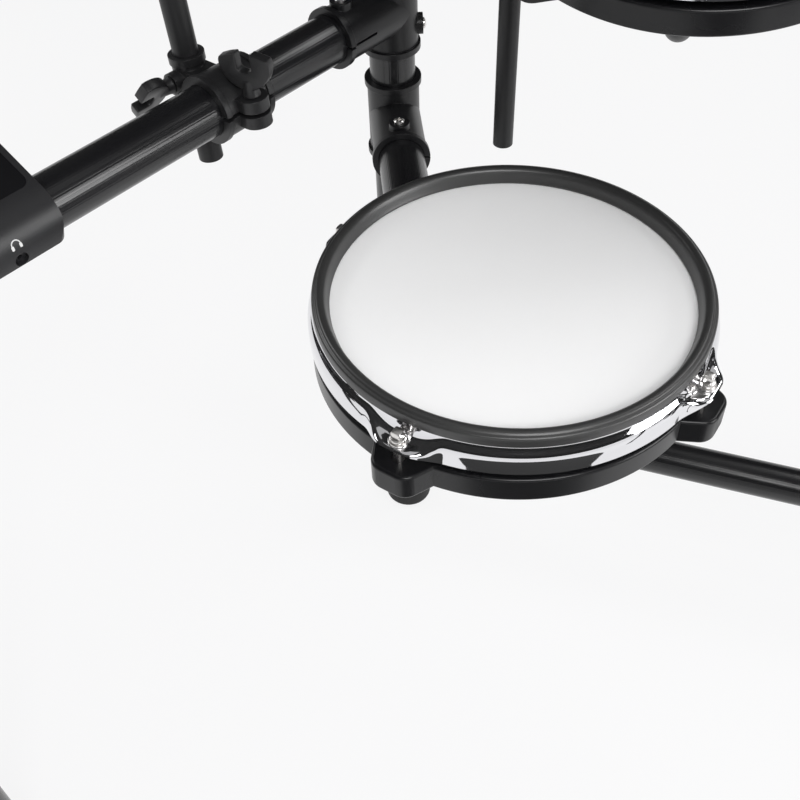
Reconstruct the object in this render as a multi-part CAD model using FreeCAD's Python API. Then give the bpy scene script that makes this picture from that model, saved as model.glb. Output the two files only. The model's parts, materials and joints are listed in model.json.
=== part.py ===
import FreeCAD
import Part
import math
import os

# Electronic drum kit on a four-post tube rack: four mesh pads, three cymbal pads and a
# sound module. X runs to the drummer's right, Y away from the drummer, Z up. The origin
# is on the floor, on the axis of the rear left post. All sizes are millimetres.

Vector = FreeCAD.Vector
UP = Vector(0, 0, 1)
DOWN = Vector(0, 0, -1)
RIGHT = Vector(1, 0, 0)
AWAY = Vector(0, 1, 0)
NEAR = Vector(0, -1, 0)
ZERO = Vector(0, 0, 0)
SIDES = (-1, 1)

# Clearances
SEAT_FIT = 0.1
RUN_FIT = 0.08
PLAY = 0.4
TOUCH = 1e-4

# Rack tubes and their places
TUBE_R = 19.0
TUBE_WALL = 2.0
POST_SPAN = 800.0
POST_TOP_Z = 780.0
UPPER_BAR_Z = 732.0
SIDE_ARM_Z = 640.0
PAD_ARM_Z = 541.0
LOWER_BAR_Z = 168.0
SIDE_ARM_YAW = 23.75
PAD_ARM_YAW = 23.4
FRONT_POST_AT = 578.0
SIDE_ARM_END = 626.0
PAD_ARM_END = 384.0

# Moulded tees; a branch tube starts at the sleeve's outer wall
TEE_WALL = 3.0
TUBE_START = TUBE_R + SEAT_FIT + TEE_WALL
TEE_HALF = 36.0
TEE_REACH = 69.0
COLLAR_LIP = 2.0
COLLAR_LENGTH = 5.0
SCREW_BOSS_R = 8.5
SCREW_BOSS_RISE = 4.0
BRANCH_SCREW_AT = 54.5
SLEEVE_SCREW_TURN = 134.0
SLEEVE_SCREW_Z = -17.0
SCREW_R = 2.2
SCREW_HEAD_R = 4.4
SCREW_HEAD_H = 2.6
SCREW_HEAD_DOME = 1.6
SLIT = 2.0
SLIT_LENGTH = 30.0

# Feet and end caps
FOOT_R = 27.5
FOOT_TOP_R = 23.0
FOOT_HEIGHT = 32.0
FOOT_FLOOR = 6.0
FOOT_EDGE = 5.0
CAP_DEPTH = 12.0
CAP_HEAD = 4.0
CAP_ROUND = 2.8

# Tube clamps
CLAMP_WALL = 5.0
CLAMP_WIDTH = 44.0
CLAMP_GAP = 3.0
CLAMP_OFFSET = 40.0
RING_LIP = 1.4
RING_LIP_W = 4.5
SOCKET_WALL = 2.8
SOCKET_BELOW = 20.0
SOCKET_ABOVE = 24.0
SOCKET_LIP = 1.2
SOCKET_LIP_H = 6.0
WEB_WIDTH = 22.0
WEB_HEIGHT = 15.0
EAR_AT = 28.5
EAR_R = 11.0
EAR_H = 9.0
BOLT_R = 3.0
BOLT_BOSS_R = 8.0
BOLT_BOSS_OUT = 19.0
BOLT_BOSS_Z = 7.0
BOLT_TAIL = 3.0

# Wings of the clamp bolts
WING_R = 19.5
WING_THICK = 8.0
WING_STEM_R = 6.5
WING_STEM = 5.5
WING_CROWN = 7.0
WING_NOTCH = 11.0
WING_NOTCH_FLOOR = 13.0
EAR_WING_TURN = 110.0
ROD_WING_TURN = 50.0

# Pad, heights from the plane of the rubber rim's outer edge
PAD_RIM_R = 115.0
RIM_INNER_R = 105.0
RIM_TOP = 3.0
RIM_BOTTOM = -5.2
RIM_BEVEL = 4.5
RIM_ROUND = 2.5
HEAD_TOP = -6.6
HEAD_THICK = 0.8
HEAD_RING_TOP = -16.0
HEAD_RING_H = 4.0
HEAD_RING_W = 2.0
HOOP_TOP = 0.5
HOOP_BOTTOM = -22.5
HOOP_WALL = 1.6
HOOP_LIP_H = 2.0
FLANGE_Z = -17.0
FLANGE_THICK = 2.0
FLANGE_R = 118.5
FLANGE_EAR_R = 7.0
LUG_CIRCLE_R = 120.0
LUG_COUNT = 4
SHELL_TOP_R = 109.8
SHELL_WALL = 4.0
SHELL_BASE_R = 117.5
SHELL_EAR_TOP = -29.0
SHELL_BOTTOM = -46.5
SHELL_FLOOR = 3.0
SHELL_EAR_REACH = 132.0
SHELL_EAR_TIP = 11.0
SHELL_EAR_ROOT = 19.0
SHELL_EAR_ROUND = 10.0
SHELL_EDGE = 2.0
ROD_BOSS_R = 17.0
ROD_BOSS_BELOW = 5.0
ROD_BOSS_ABOVE = 12.0
ROD_SEAT = 16.0
PAD_JACK_R = 3.3
PAD_JACK_Z = -38.5
LUG_ROD_R = 3.0
LUG_WASHER_R = 5.4
LUG_WASHER_H = 1.6
LUG_COLLAR_R = 4.8
LUG_COLLAR_H = 2.4
LUG_SQUARE = 6.35
LUG_SQUARE_H = 5.5
LUG_DEPTH = 10.0
SENSOR_R = 40.0
SENSOR_THICK = 2.0
FOAM_FOOT_R = 20.0
FOAM_TIP_R = 9.0

# Where the pads stand and how they are held
PAD_ROD_R = 9.5
SNARE_RIM_Z = 650.0
SNARE_CLAMP_AT = 353.0
SNARE_LUG_ANGLE = -15.0
PAD_ROD_TAIL = 45.0
TOM_X = 230.5
TOM_Y = -119.5
TOM_RIM_Z = 837.0
TOM_TILT = 11.4
TOM_LUG_ANGLE = 50.5
TOM_ROD_BEND = 30.0
TOM_ROD_TAIL = 70.0

# Cymbal pads and their rods
CYMBAL_R = 127.0
CYMBAL_DROP = 22.0
CYMBAL_EDGE = 4.0
CYMBAL_BOW = 4.0
BELL_R = 26.0
BELL_Z = 4.0
BELL_WALL = 5.0
HUB_IN_R = 10.0
HUB_OUT_R = 14.0
HUB_HOLE_R = 6.5
SEAT_CUT = 3.4
SEAT_STEM = 42.0
NECK_R = 3.0
NECK_RISE = 34.0
NUT_R = 8.4
NUT_H = 12.0
NUT_WING = 17.0
NUT_WING_THICK = 5.0
NUT_WING_RISE = 6.0
HIHAT_AT = 173.0
HIHAT_LEAN = 4.5
HIHAT_ROD_R = 9.5
HIHAT_TAIL = 63.0
HIHAT_RISE = 250.0
CRASH_X = 106.5
CRASH_ROD_R = 8.0
CRASH_TAIL = 176.0
CRASH_RISE = 330.0
RIDE_RISE = 340.0

# Sound module on the left arm, in its own tilted frame: x along the arm towards the rear,
# y up the slope of the panel, z out of the panel, from the arm's axis
MODULE_AT = 420.0
MODULE_TILT = 21.3
MODULE_WIDTH = 150.0
MODULE_BOTTOM = 20.4
MODULE_TOP = 45.4
MODULE_FRONT = -41.0
MODULE_BACK = 92.0
MODULE_NOSE_R = 26.5
MODULE_BACK_R = 9.0
MODULE_END_R = 8.0
CAVITY_FLOOR = 28.0
PANEL_FRONT = -11.0
PANEL_SIDE_MARGIN = 4.0
PANEL_BACK_MARGIN = 12.0
PANEL_THICK = 2.5
PANEL_LEDGE = 4.0
PANEL_CORNER = 6.0
BOARD_TOP = 39.0
BOARD_THICK = 1.6
BOARD_POST_R = 4.0
BOARD_INSET = 9.0
SCREEN_X = -8.0
SCREEN_Y = 62.0
SCREEN_WIDTH = 62.0
SCREEN_DEPTH = 28.0
KNOB_R = 10.0
KNOB_H = 13.0
KNOB_FROM_EDGE = 21.0
DIAL_R = 15.0
DIAL_H = 11.0
DIAL_FROM_EDGE = 29.0
CONTROL_Y = 22.0
CONTROL_SHAFT_R = 3.0
KNOB_EDGE = 1.2
BUTTON_WIDTH = 14.0
BUTTON_DEPTH = 8.0
BUTTON_RISE = 2.0
BUTTON_TRAVEL = 1.0
BUTTON_CORNER = 2.0
BUTTON_EDGE = 0.8
START_X = -18.0
MENU_X = 6.0
JACK_R = 1.8
JACK_DEPTH = 14.0
JACK_Z = 25.4
JACK_FROM_END = 34.0
JACK_POCKET_R = 4.6
JACK_POCKET = 2.5
BRACKET_WALL = 4.5
BRACKET_WIDTH = 40.0


# Small helpers for solids and places

def cylinder(radius, height, base=ZERO, axis=UP):
    return Part.makeCylinder(radius, height, base, axis)


def box(low, high):
    size = high - low
    return Part.makeBox(size.x, size.y, size.z, low)


def turned(profile):
    """Solid of revolution about Z of a closed outline of (radius, height) points."""
    points = [Vector(r, 0, z) for r, z in profile]
    wire = Part.makePolygon(points + points[:1])
    return Part.Face(wire).revolve(ZERO, UP, 360)


def round_edges(solid, radius, chosen):
    """Fillet the edges for which chosen(edge) is true."""
    return solid.makeFillet(radius, [e for e in solid.Edges if chosen(e)])


def lies_at(edge, height):
    bounds = edge.BoundBox
    return abs(bounds.ZMin - height) < TOUCH and abs(bounds.ZMax - height) < TOUCH


def one(first, *others):
    """One clean solid from pieces that join."""
    return first.multiFuse(list(others)).removeSplitter()


def unit(vector):
    return Vector(vector).normalize()


def frame(origin, y_axis, z_axis):
    """Placement whose local y and z lie along the given directions."""
    z = unit(z_axis)
    y = unit(y_axis)
    x = y.cross(z)
    matrix = FreeCAD.Matrix(x.x, y.x, z.x, origin.x,
                            x.y, y.y, z.y, origin.y,
                            x.z, y.z, z.z, origin.z,
                            0, 0, 0, 1)
    return FreeCAD.Placement(matrix)


def placed(shape, placement):
    moved = shape.copy()
    moved.Placement = placement.multiply(shape.Placement)
    return moved


def heading(yaw):
    """Level direction towards the drummer, turned to the drummer's right by yaw degrees."""
    angle = math.radians(yaw)
    return Vector(math.sin(angle), -math.cos(angle), 0)


def to_right(vector):
    """Level direction a quarter turn to the right-hand side of a level direction."""
    return Vector(vector.y, -vector.x, 0)


def turned_about(vector, axis, degrees):
    return FreeCAD.Rotation(axis, degrees).multVec(vector)


# Rack: tubes, tees, feet and caps

def spun(degrees):
    return FreeCAD.Placement(ZERO, FreeCAD.Rotation(UP, degrees))


def tube(start, direction, length):
    outer = cylinder(TUBE_R, length, start, direction)
    return outer.cut(cylinder(TUBE_R - TUBE_WALL, length, start, direction))


def sleeve_screw_side():
    """Level direction of the screw in a tee's sleeve, turned away from the branch."""
    return turned_about(RIGHT, UP, SLEEVE_SCREW_TURN)


def tee():
    """Moulded tee: sleeve along z, branch along x, screw bosses and a clamping slit."""
    radius = TUBE_R + TEE_WALL
    collar = radius + COLLAR_LIP
    low = Vector(0, 0, -TEE_HALF)
    lip_top = Vector(0, 0, TEE_HALF - COLLAR_LENGTH)
    lip_end = Vector(TEE_REACH - COLLAR_LENGTH, 0, 0)
    boss_top = radius + SCREW_BOSS_RISE
    sleeve_screw = sleeve_screw_side()
    sleeve_boss = Vector(0, 0, SLEEVE_SCREW_Z)
    solid = one(
        cylinder(radius, 2 * TEE_HALF, low),
        cylinder(collar, COLLAR_LENGTH, low),
        cylinder(collar, COLLAR_LENGTH, lip_top),
        cylinder(radius, TEE_REACH, ZERO, RIGHT),
        cylinder(collar, COLLAR_LENGTH, lip_end, RIGHT),
        cylinder(SCREW_BOSS_R, boss_top, sleeve_boss, sleeve_screw),
        cylinder(SCREW_BOSS_R, boss_top, Vector(BRANCH_SCREW_AT, 0, 0), UP))
    bore = TUBE_R + SEAT_FIT
    solid = solid.cut(cylinder(bore, 2 * TEE_HALF, low))
    solid = solid.cut(cylinder(bore, TEE_REACH - TUBE_START, Vector(TUBE_START, 0, 0), RIGHT))
    slit_low = Vector(TEE_REACH - SLIT_LENGTH, 0, -SLIT / 2)
    solid = solid.cut(box(slit_low, Vector(TEE_REACH, collar, SLIT / 2)))
    hole = SCREW_R + SEAT_FIT
    solid = solid.cut(cylinder(hole, boss_top, sleeve_boss, sleeve_screw))
    return solid.cut(cylinder(hole, boss_top, Vector(BRANCH_SCREW_AT, 0, 0), UP))


def tee_screw():
    """Pan-head screw along z that stands on a boss and ends at the wall of the tube."""
    seat = TUBE_R + TEE_WALL + SCREW_BOSS_RISE
    tip = TUBE_R + SEAT_FIT
    head = cylinder(SCREW_HEAD_R, SCREW_HEAD_H, Vector(0, 0, seat))
    head = round_edges(head, SCREW_HEAD_DOME, lambda e: lies_at(e, seat + SCREW_HEAD_H))
    return one(cylinder(SCREW_R, seat - tip, Vector(0, 0, tip)), head)


def tee_screw_frames():
    """Local frames of a tee's two screws: on the sleeve and on the branch."""
    sleeve = frame(Vector(0, 0, SLEEVE_SCREW_Z), UP, sleeve_screw_side())
    return sleeve, frame(Vector(BRANCH_SCREW_AT, 0, 0), AWAY, UP)


def foot():
    """Rubber foot: a cup with a rounded base that the post stands in."""
    solid = turned([(0, 0), (FOOT_R, 0), (FOOT_TOP_R, FOOT_HEIGHT), (0, FOOT_HEIGHT)])
    solid = round_edges(solid, FOOT_EDGE, lambda e: lies_at(e, 0))
    return solid.cut(cylinder(TUBE_R + SEAT_FIT, FOOT_HEIGHT, Vector(0, 0, FOOT_FLOOR)))


def end_cap():
    """Plug for an open tube end: the head lies on the end at z = 0."""
    head = cylinder(TUBE_R, CAP_HEAD)
    head = round_edges(head, CAP_ROUND, lambda e: lies_at(e, CAP_HEAD))
    return head.fuse(cylinder(TUBE_R - TUBE_WALL - SEAT_FIT, CAP_DEPTH, Vector(0, 0, -CAP_DEPTH)))


# Clamps: x along the tube, y towards the rod's socket, z along the rod

def clamp_ring():
    """Barrel around the tube, uncut, with a raised rim at each end."""
    half = CLAMP_WIDTH / 2
    ring_r = TUBE_R + CLAMP_WALL
    far_rim = Vector(half - RING_LIP_W, 0, 0)
    return one(
        cylinder(ring_r, CLAMP_WIDTH, Vector(-half, 0, 0), RIGHT),
        cylinder(ring_r + RING_LIP, RING_LIP_W, Vector(-half, 0, 0), RIGHT),
        cylinder(ring_r + RING_LIP, RING_LIP_W, far_rim, RIGHT))


def clamp_body(rod_r):
    ring_r = TUBE_R + CLAMP_WALL
    socket_r = rod_r + SOCKET_WALL
    half = CLAMP_WIDTH / 2
    joint = CLAMP_GAP / 2
    lip_r = ring_r + RING_LIP
    above = box(Vector(-half, -lip_r, joint), Vector(half, lip_r, lip_r))
    ring = clamp_ring().common(above)
    axis = Vector(0, CLAMP_OFFSET, -SOCKET_BELOW)
    height = SOCKET_BELOW + SOCKET_ABOVE
    lip = Vector(0, CLAMP_OFFSET, SOCKET_ABOVE - SOCKET_LIP_H)
    ear = Vector(0, -EAR_AT, joint)
    boss = Vector(0, CLAMP_OFFSET, BOLT_BOSS_Z)
    solid = one(
        ring,
        box(Vector(-WEB_WIDTH / 2, 0, joint), Vector(WEB_WIDTH / 2, CLAMP_OFFSET, WEB_HEIGHT)),
        cylinder(socket_r, height, axis),
        cylinder(socket_r + SOCKET_LIP, SOCKET_LIP_H, lip),
        cylinder(EAR_R, EAR_H, ear),
        box(Vector(-EAR_R, -EAR_AT, joint), Vector(EAR_R, 0, joint + EAR_H)),
        cylinder(BOLT_BOSS_R, BOLT_BOSS_OUT, boss, RIGHT * -1))
    solid = solid.cut(cylinder(TUBE_R + SEAT_FIT, CLAMP_WIDTH, Vector(-half, 0, 0), RIGHT))
    solid = solid.cut(cylinder(rod_r + RUN_FIT, height, axis))
    solid = solid.cut(cylinder(BOLT_R + RUN_FIT, EAR_H, ear))
    return solid.cut(cylinder(BOLT_R + RUN_FIT, BOLT_BOSS_OUT, boss, RIGHT * -1))


def clamp_cap():
    half = CLAMP_WIDTH / 2
    joint = CLAMP_GAP / 2
    lip_r = TUBE_R + CLAMP_WALL + RING_LIP
    below = box(Vector(-half, -lip_r, -lip_r), Vector(half, lip_r, -joint))
    ring = clamp_ring().common(below)
    ear = Vector(0, -EAR_AT, -joint - EAR_H)
    solid = one(
        ring,
        cylinder(EAR_R, EAR_H, ear),
        box(Vector(-EAR_R, -EAR_AT, -joint - EAR_H), Vector(EAR_R, 0, -joint)))
    solid = solid.cut(cylinder(TUBE_R + SEAT_FIT, CLAMP_WIDTH, Vector(-half, 0, 0), RIGHT))
    return solid.cut(cylinder(BOLT_R + RUN_FIT, EAR_H, ear))


def wing_bolt(shank):
    """Bolt with a notched crescent wing; the hub's underside is at z = 0."""
    centre = WING_STEM + WING_R
    disc = cylinder(WING_R, WING_THICK, Vector(0, WING_THICK / 2, centre), NEAR)
    keep = box(Vector(-WING_R, -WING_THICK, 0), Vector(WING_R, WING_THICK, centre + WING_CROWN))
    floor = WING_STEM + WING_NOTCH_FLOOR
    notch_low = Vector(-WING_NOTCH / 2, -WING_THICK, floor)
    notch = box(notch_low, Vector(WING_NOTCH / 2, WING_THICK, centre + WING_R))
    crescent = disc.common(keep).cut(notch)
    stem = cylinder(WING_STEM_R, floor - WING_STEM_R / 2)
    return one(crescent, stem, cylinder(BOLT_R, shank, Vector(0, 0, -shank)))


def ear_bolt_frame(clamp):
    """Frame of the bolt that squeezes the two halves together, hub on the upper ear."""
    seat = Vector(0, -EAR_AT, CLAMP_GAP / 2 + EAR_H + PLAY)
    return clamp.multiply(frame(seat, NEAR, UP)).multiply(spun(EAR_WING_TURN))


def rod_bolt_frame(clamp):
    """Frame of the bolt that presses on the rod, hub outside its boss."""
    seat = Vector(-BOLT_BOSS_OUT - PLAY, CLAMP_OFFSET, BOLT_BOSS_Z)
    return clamp.multiply(frame(seat, UP, RIGHT * -1)).multiply(spun(ROD_WING_TURN))


def ear_bolt():
    return wing_bolt(CLAMP_GAP + 2 * EAR_H + PLAY + BOLT_TAIL)


def rod_bolt(rod_r):
    return wing_bolt(BOLT_BOSS_OUT - rod_r)


# Pads: the rim's plane is at z = 0 and the drum's axis is Z

def lug_places():
    return [spun(index * 360.0 / LUG_COUNT) for index in range(LUG_COUNT)]


def pad_shell():
    """Plastic shell: round base with four ears, upper wall, floor and the rod's boss."""
    height = SHELL_EAR_TOP - SHELL_BOTTOM
    base = cylinder(SHELL_BASE_R, height, Vector(0, 0, SHELL_BOTTOM))
    root = SHELL_BASE_R * math.cos(math.asin(SHELL_EAR_ROOT / SHELL_BASE_R))
    outline = [Vector(0, -SHELL_EAR_ROOT, SHELL_BOTTOM),
               Vector(root, -SHELL_EAR_ROOT, SHELL_BOTTOM),
               Vector(SHELL_EAR_REACH, -SHELL_EAR_TIP, SHELL_BOTTOM),
               Vector(SHELL_EAR_REACH, SHELL_EAR_TIP, SHELL_BOTTOM),
               Vector(root, SHELL_EAR_ROOT, SHELL_BOTTOM),
               Vector(0, SHELL_EAR_ROOT, SHELL_BOTTOM)]
    ear = Part.Face(Part.makePolygon(outline + outline[:1])).extrude(UP * height)

    def is_tip(edge):
        upright = edge.BoundBox.ZLength > height / 2
        return upright and edge.BoundBox.XMin > SHELL_EAR_REACH - SHELL_EDGE

    def is_outer_edge(edge):
        return lies_at(edge, SHELL_EAR_TOP) or lies_at(edge, SHELL_BOTTOM)

    ear = round_edges(round_edges(ear, SHELL_EAR_ROUND, is_tip), SHELL_EDGE, is_outer_edge)
    base = round_edges(base, SHELL_EDGE, is_outer_edge)
    solid = one(base, *[placed(ear, place) for place in lug_places()])
    inner_r = SHELL_TOP_R - SHELL_WALL
    shell_top = HEAD_TOP - HEAD_THICK
    floor = SHELL_BOTTOM + SHELL_FLOOR
    wall = cylinder(SHELL_TOP_R, shell_top - SHELL_EAR_TOP, Vector(0, 0, SHELL_EAR_TOP))
    solid = one(solid, wall)
    solid = solid.cut(cylinder(inner_r, shell_top - floor, Vector(0, 0, floor)))
    boss_low = SHELL_BOTTOM - ROD_BOSS_BELOW
    boss_height = ROD_BOSS_BELOW + SHELL_FLOOR + ROD_BOSS_ABOVE
    solid = one(solid, cylinder(ROD_BOSS_R, boss_height, Vector(0, 0, boss_low)))
    solid = solid.cut(cylinder(PAD_ROD_R + RUN_FIT, ROD_SEAT, Vector(0, 0, boss_low)))
    for place in lug_places():
        bottom = Vector(LUG_CIRCLE_R, 0, SHELL_EAR_TOP - LUG_DEPTH)
        solid = solid.cut(placed(cylinder(LUG_ROD_R + SEAT_FIT, LUG_DEPTH, bottom), place))
    jack = cylinder(PAD_JACK_R, SHELL_BASE_R, Vector(inner_r - SHELL_WALL, 0, PAD_JACK_Z), RIGHT)
    return solid.cut(placed(jack, spun(180.0 / LUG_COUNT)))


def pad_head():
    """Mesh head: flat disc with a skirt over the shell and the ring that the hoop pulls on."""
    skirt_in = SHELL_TOP_R + PLAY
    skirt_out = skirt_in + HEAD_THICK
    ring_out = skirt_in + HEAD_RING_W
    ring_low = HEAD_RING_TOP - HEAD_RING_H
    return turned([(0, HEAD_TOP), (skirt_out, HEAD_TOP), (skirt_out, HEAD_RING_TOP),
                   (ring_out, HEAD_RING_TOP), (ring_out, ring_low), (skirt_in, ring_low),
                   (skirt_in, HEAD_TOP - HEAD_THICK), (0, HEAD_TOP - HEAD_THICK)])


def hoop_inner():
    return SHELL_TOP_R + PLAY + HEAD_RING_W + SEAT_FIT


def pad_hoop():
    """Steel hoop: upright band with a lip on the head's ring, a flange that turns down
    into a skirt, and four ears where the skirt is cut away around the rods."""
    inner = hoop_inner()
    outer = inner + HOOP_WALL
    lip = SHELL_TOP_R + PLAY + HEAD_THICK + SEAT_FIT
    flange_top = FLANGE_Z + FLANGE_THICK
    lip_top = HEAD_RING_TOP + HOOP_LIP_H
    skirt = FLANGE_R - HOOP_WALL
    solid = turned([(inner, HOOP_BOTTOM), (outer, HOOP_BOTTOM), (outer, FLANGE_Z), (skirt, FLANGE_Z),
                    (skirt, HOOP_BOTTOM), (FLANGE_R, HOOP_BOTTOM), (FLANGE_R, flange_top),
                    (outer, flange_top), (outer, HOOP_TOP), (inner, HOOP_TOP),
                    (inner, lip_top), (lip, lip_top), (lip, HEAD_RING_TOP), (inner, HEAD_RING_TOP)])
    gap_low = Vector(outer, -FLANGE_EAR_R, HOOP_BOTTOM)
    gap = box(gap_low, Vector(LUG_CIRCLE_R, FLANGE_EAR_R, FLANGE_Z))
    disc = cylinder(FLANGE_EAR_R, FLANGE_THICK, Vector(LUG_CIRCLE_R, 0, FLANGE_Z))
    web_low = Vector(outer, -FLANGE_EAR_R, FLANGE_Z)
    ear = one(disc, box(web_low, Vector(LUG_CIRCLE_R, FLANGE_EAR_R, flange_top)))
    hole = cylinder(LUG_ROD_R + SEAT_FIT, FLANGE_THICK, Vector(LUG_CIRCLE_R, 0, FLANGE_Z))
    for place in lug_places():
        solid = one(solid.cut(placed(gap, place)), placed(ear, place)).cut(placed(hole, place))
    return solid


def pad_rim():
    """Rubber rim: a channel pushed over the hoop's top edge, with a bevel towards the head."""
    groove_in = hoop_inner() - SEAT_FIT
    groove_out = hoop_inner() + HOOP_WALL + SEAT_FIT
    inner_low = HEAD_TOP + PLAY
    bevel = RIM_INNER_R + RIM_BEVEL
    solid = turned([(RIM_INNER_R, inner_low), (groove_in, inner_low), (groove_in, HOOP_TOP),
                    (groove_out, HOOP_TOP), (groove_out, RIM_BOTTOM), (PAD_RIM_R, RIM_BOTTOM),
                    (PAD_RIM_R, RIM_TOP), (bevel, RIM_TOP), (RIM_INNER_R, inner_low + 2 * PLAY)])

    def is_outer_top(edge):
        return lies_at(edge, RIM_TOP) and edge.BoundBox.XMax > PAD_RIM_R - PLAY

    return round_edges(solid, RIM_ROUND, is_outer_top)


def tension_rods():
    """Square-headed rods with collars and washers, from the hoop's ears into the shell's."""
    seat = FLANGE_Z + FLANGE_THICK
    low = SHELL_EAR_TOP - LUG_DEPTH + PLAY
    half = LUG_SQUARE / 2
    square_low = seat + LUG_WASHER_H + LUG_COLLAR_H
    square_high = square_low + LUG_SQUARE_H
    rod = one(
        cylinder(LUG_ROD_R, seat - low, Vector(LUG_CIRCLE_R, 0, low)),
        cylinder(LUG_WASHER_R, LUG_WASHER_H, Vector(LUG_CIRCLE_R, 0, seat)),
        cylinder(LUG_COLLAR_R, LUG_COLLAR_H, Vector(LUG_CIRCLE_R, 0, seat + LUG_WASHER_H)),
        box(Vector(LUG_CIRCLE_R - half, -half, square_low), Vector(LUG_CIRCLE_R + half, half, square_high)))
    return [placed(rod, place) for place in lug_places()]


def trigger():
    """Sensor plate on the rod's boss and the foam cone between it and the head."""
    plate_low = SHELL_BOTTOM + SHELL_FLOOR + ROD_BOSS_ABOVE
    plate = cylinder(SENSOR_R, SENSOR_THICK, Vector(0, 0, plate_low))
    foam_low = plate_low + SENSOR_THICK
    foam_high = HEAD_TOP - HEAD_THICK
    foam = Part.makeCone(FOAM_FOOT_R, FOAM_TIP_R, foam_high - foam_low, Vector(0, 0, foam_low))
    return [plate, foam]


def rod_top():
    """Height of the rod's upper end in the pad's boss, from the rim's plane."""
    return SHELL_BOTTOM - ROD_BOSS_BELOW + ROD_SEAT


def straight_pad_rod(centre, arm_z):
    low = arm_z - SOCKET_BELOW - PAD_ROD_TAIL
    return cylinder(PAD_ROD_R, centre.z + rod_top() - low, Vector(centre.x, centre.y, low))


def tom_axis():
    """Direction of a tom's axis, leaning towards the drummer."""
    return turned_about(UP, RIGHT, TOM_TILT)


def bent_pad_rod(centre, bar_z):
    """Bent rod: level leg through the clamp under the bar, raised leg into the leaning pad."""
    level_z = bar_z - CLAMP_OFFSET
    corner_y = centre.y + (centre.z - level_z) * math.tan(math.radians(TOM_TILT))
    turn = 90 - TOM_TILT
    cut_back = TOM_ROD_BEND * math.tan(math.radians(turn / 2))
    start = Vector(centre.x, corner_y + cut_back, level_z)
    level = cylinder(PAD_ROD_R, TOM_ROD_TAIL - start.y, start, AWAY)
    ring = Part.Wire(Part.makeCircle(PAD_ROD_R, start, AWAY))
    pivot = start + UP * TOM_ROD_BEND
    elbow = Part.Face(ring).revolve(pivot, RIGHT * -1, turn)
    raised_start = Vector(centre.x, corner_y, level_z) + tom_axis() * cut_back
    raised_end = centre + tom_axis() * rod_top()
    raised = cylinder(PAD_ROD_R, (raised_end - raised_start).Length, raised_start, tom_axis())
    return one(level, elbow, raised)


# Cymbal pads rock on a ball-shaped seat; the ball's centre is at z = 0

def cymbal():
    """Rubber-faced dish: a hub shaped as a piece of a ball, a bell and a shallow bow."""
    top_edge = -CYMBAL_DROP
    low_edge = top_edge - CYMBAL_EDGE

    def on_ball(radius, r):
        return Vector(r, 0, math.sqrt(radius * radius - r * r))

    def hub_arc(radius):
        last = (HUB_HOLE_R + radius) / 2
        middle = (HUB_HOLE_R + last) / 2
        return [on_ball(radius, HUB_HOLE_R), on_ball(radius, middle), on_ball(radius, last)]

    top = hub_arc(HUB_OUT_R)
    low = hub_arc(HUB_IN_R)[::-1]
    bell_top = Vector(BELL_R, 0, BELL_Z)
    bell_low = Vector(BELL_R, 0, BELL_Z - BELL_WALL)
    rim_top = Vector(CYMBAL_R, 0, top_edge)
    rim_low = Vector(CYMBAL_R, 0, low_edge)
    mid_top = (bell_top + rim_top) * 0.5 + Vector(0, 0, CYMBAL_BOW)
    mid_low = (bell_low + rim_low) * 0.5 + Vector(0, 0, CYMBAL_BOW)
    edges = [
        Part.Arc(*top).toShape(),
        Part.makeLine(top[2], bell_top),
        Part.Arc(bell_top, mid_top, rim_top).toShape(),
        Part.makeLine(rim_top, rim_low),
        Part.Arc(rim_low, mid_low, bell_low).toShape(),
        Part.makeLine(bell_low, low[0]),
        Part.Arc(*low).toShape(),
        Part.makeLine(low[2], top[0])]
    return Part.Face(Part.Wire(edges)).revolve(ZERO, UP, 360)


def cymbal_rod(rod_r, tail, rise):
    """Rod from its tail to the ball-shaped seat, with a thin neck through the cymbal."""
    ball_r = HUB_IN_R - PLAY
    stem_r = math.sqrt(ball_r * ball_r - SEAT_CUT * SEAT_CUT)
    above = box(Vector(-ball_r, -ball_r, SEAT_CUT), Vector(ball_r, ball_r, ball_r))
    seat = Part.makeSphere(ball_r).common(above)
    stem = cylinder(stem_r, SEAT_CUT + SEAT_STEM, Vector(0, 0, -SEAT_STEM))
    shaft = cylinder(rod_r, tail + rise - SEAT_STEM, Vector(0, 0, -rise - tail))
    return one(shaft, stem, seat, cylinder(NECK_R, NECK_RISE))


def wing_nut():
    """Wing nut with a hollow ball-shaped underside above the hub."""
    low = HUB_IN_R
    wing_low = Vector(-NUT_WING, -NUT_WING_THICK / 2, low + NUT_H / 2)
    wing_high = Vector(NUT_WING, NUT_WING_THICK / 2, low + NUT_H + NUT_WING_RISE)
    body = one(cylinder(NUT_R, NUT_H, Vector(0, 0, low)), box(wing_low, wing_high))
    body = body.cut(Part.makeSphere(HUB_OUT_R + PLAY))
    return body.cut(cylinder(NECK_R + SEAT_FIT, NECK_RISE, ZERO))


# Sound module, in its own tilted frame

def rounded_plate(x_low, x_high, y_low, y_high, z_low, z_high, corner):
    plate = box(Vector(x_low, y_low, z_low), Vector(x_high, y_high, z_high))
    return round_edges(plate, corner, lambda e: e.BoundBox.ZLength > (z_high - z_low) / 2)


def panel_limits():
    half = MODULE_WIDTH / 2 - PANEL_SIDE_MARGIN
    return half, PANEL_FRONT, MODULE_BACK - PANEL_BACK_MARGIN


def board_posts():
    half, front, back = panel_limits()
    reach = half - PANEL_LEDGE - BOARD_INSET
    low = front + PANEL_LEDGE + BOARD_INSET
    high = back - PANEL_LEDGE - BOARD_INSET
    return [Vector(x, y, CAVITY_FLOOR) for x in (-reach, reach) for y in (low, high)]


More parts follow.
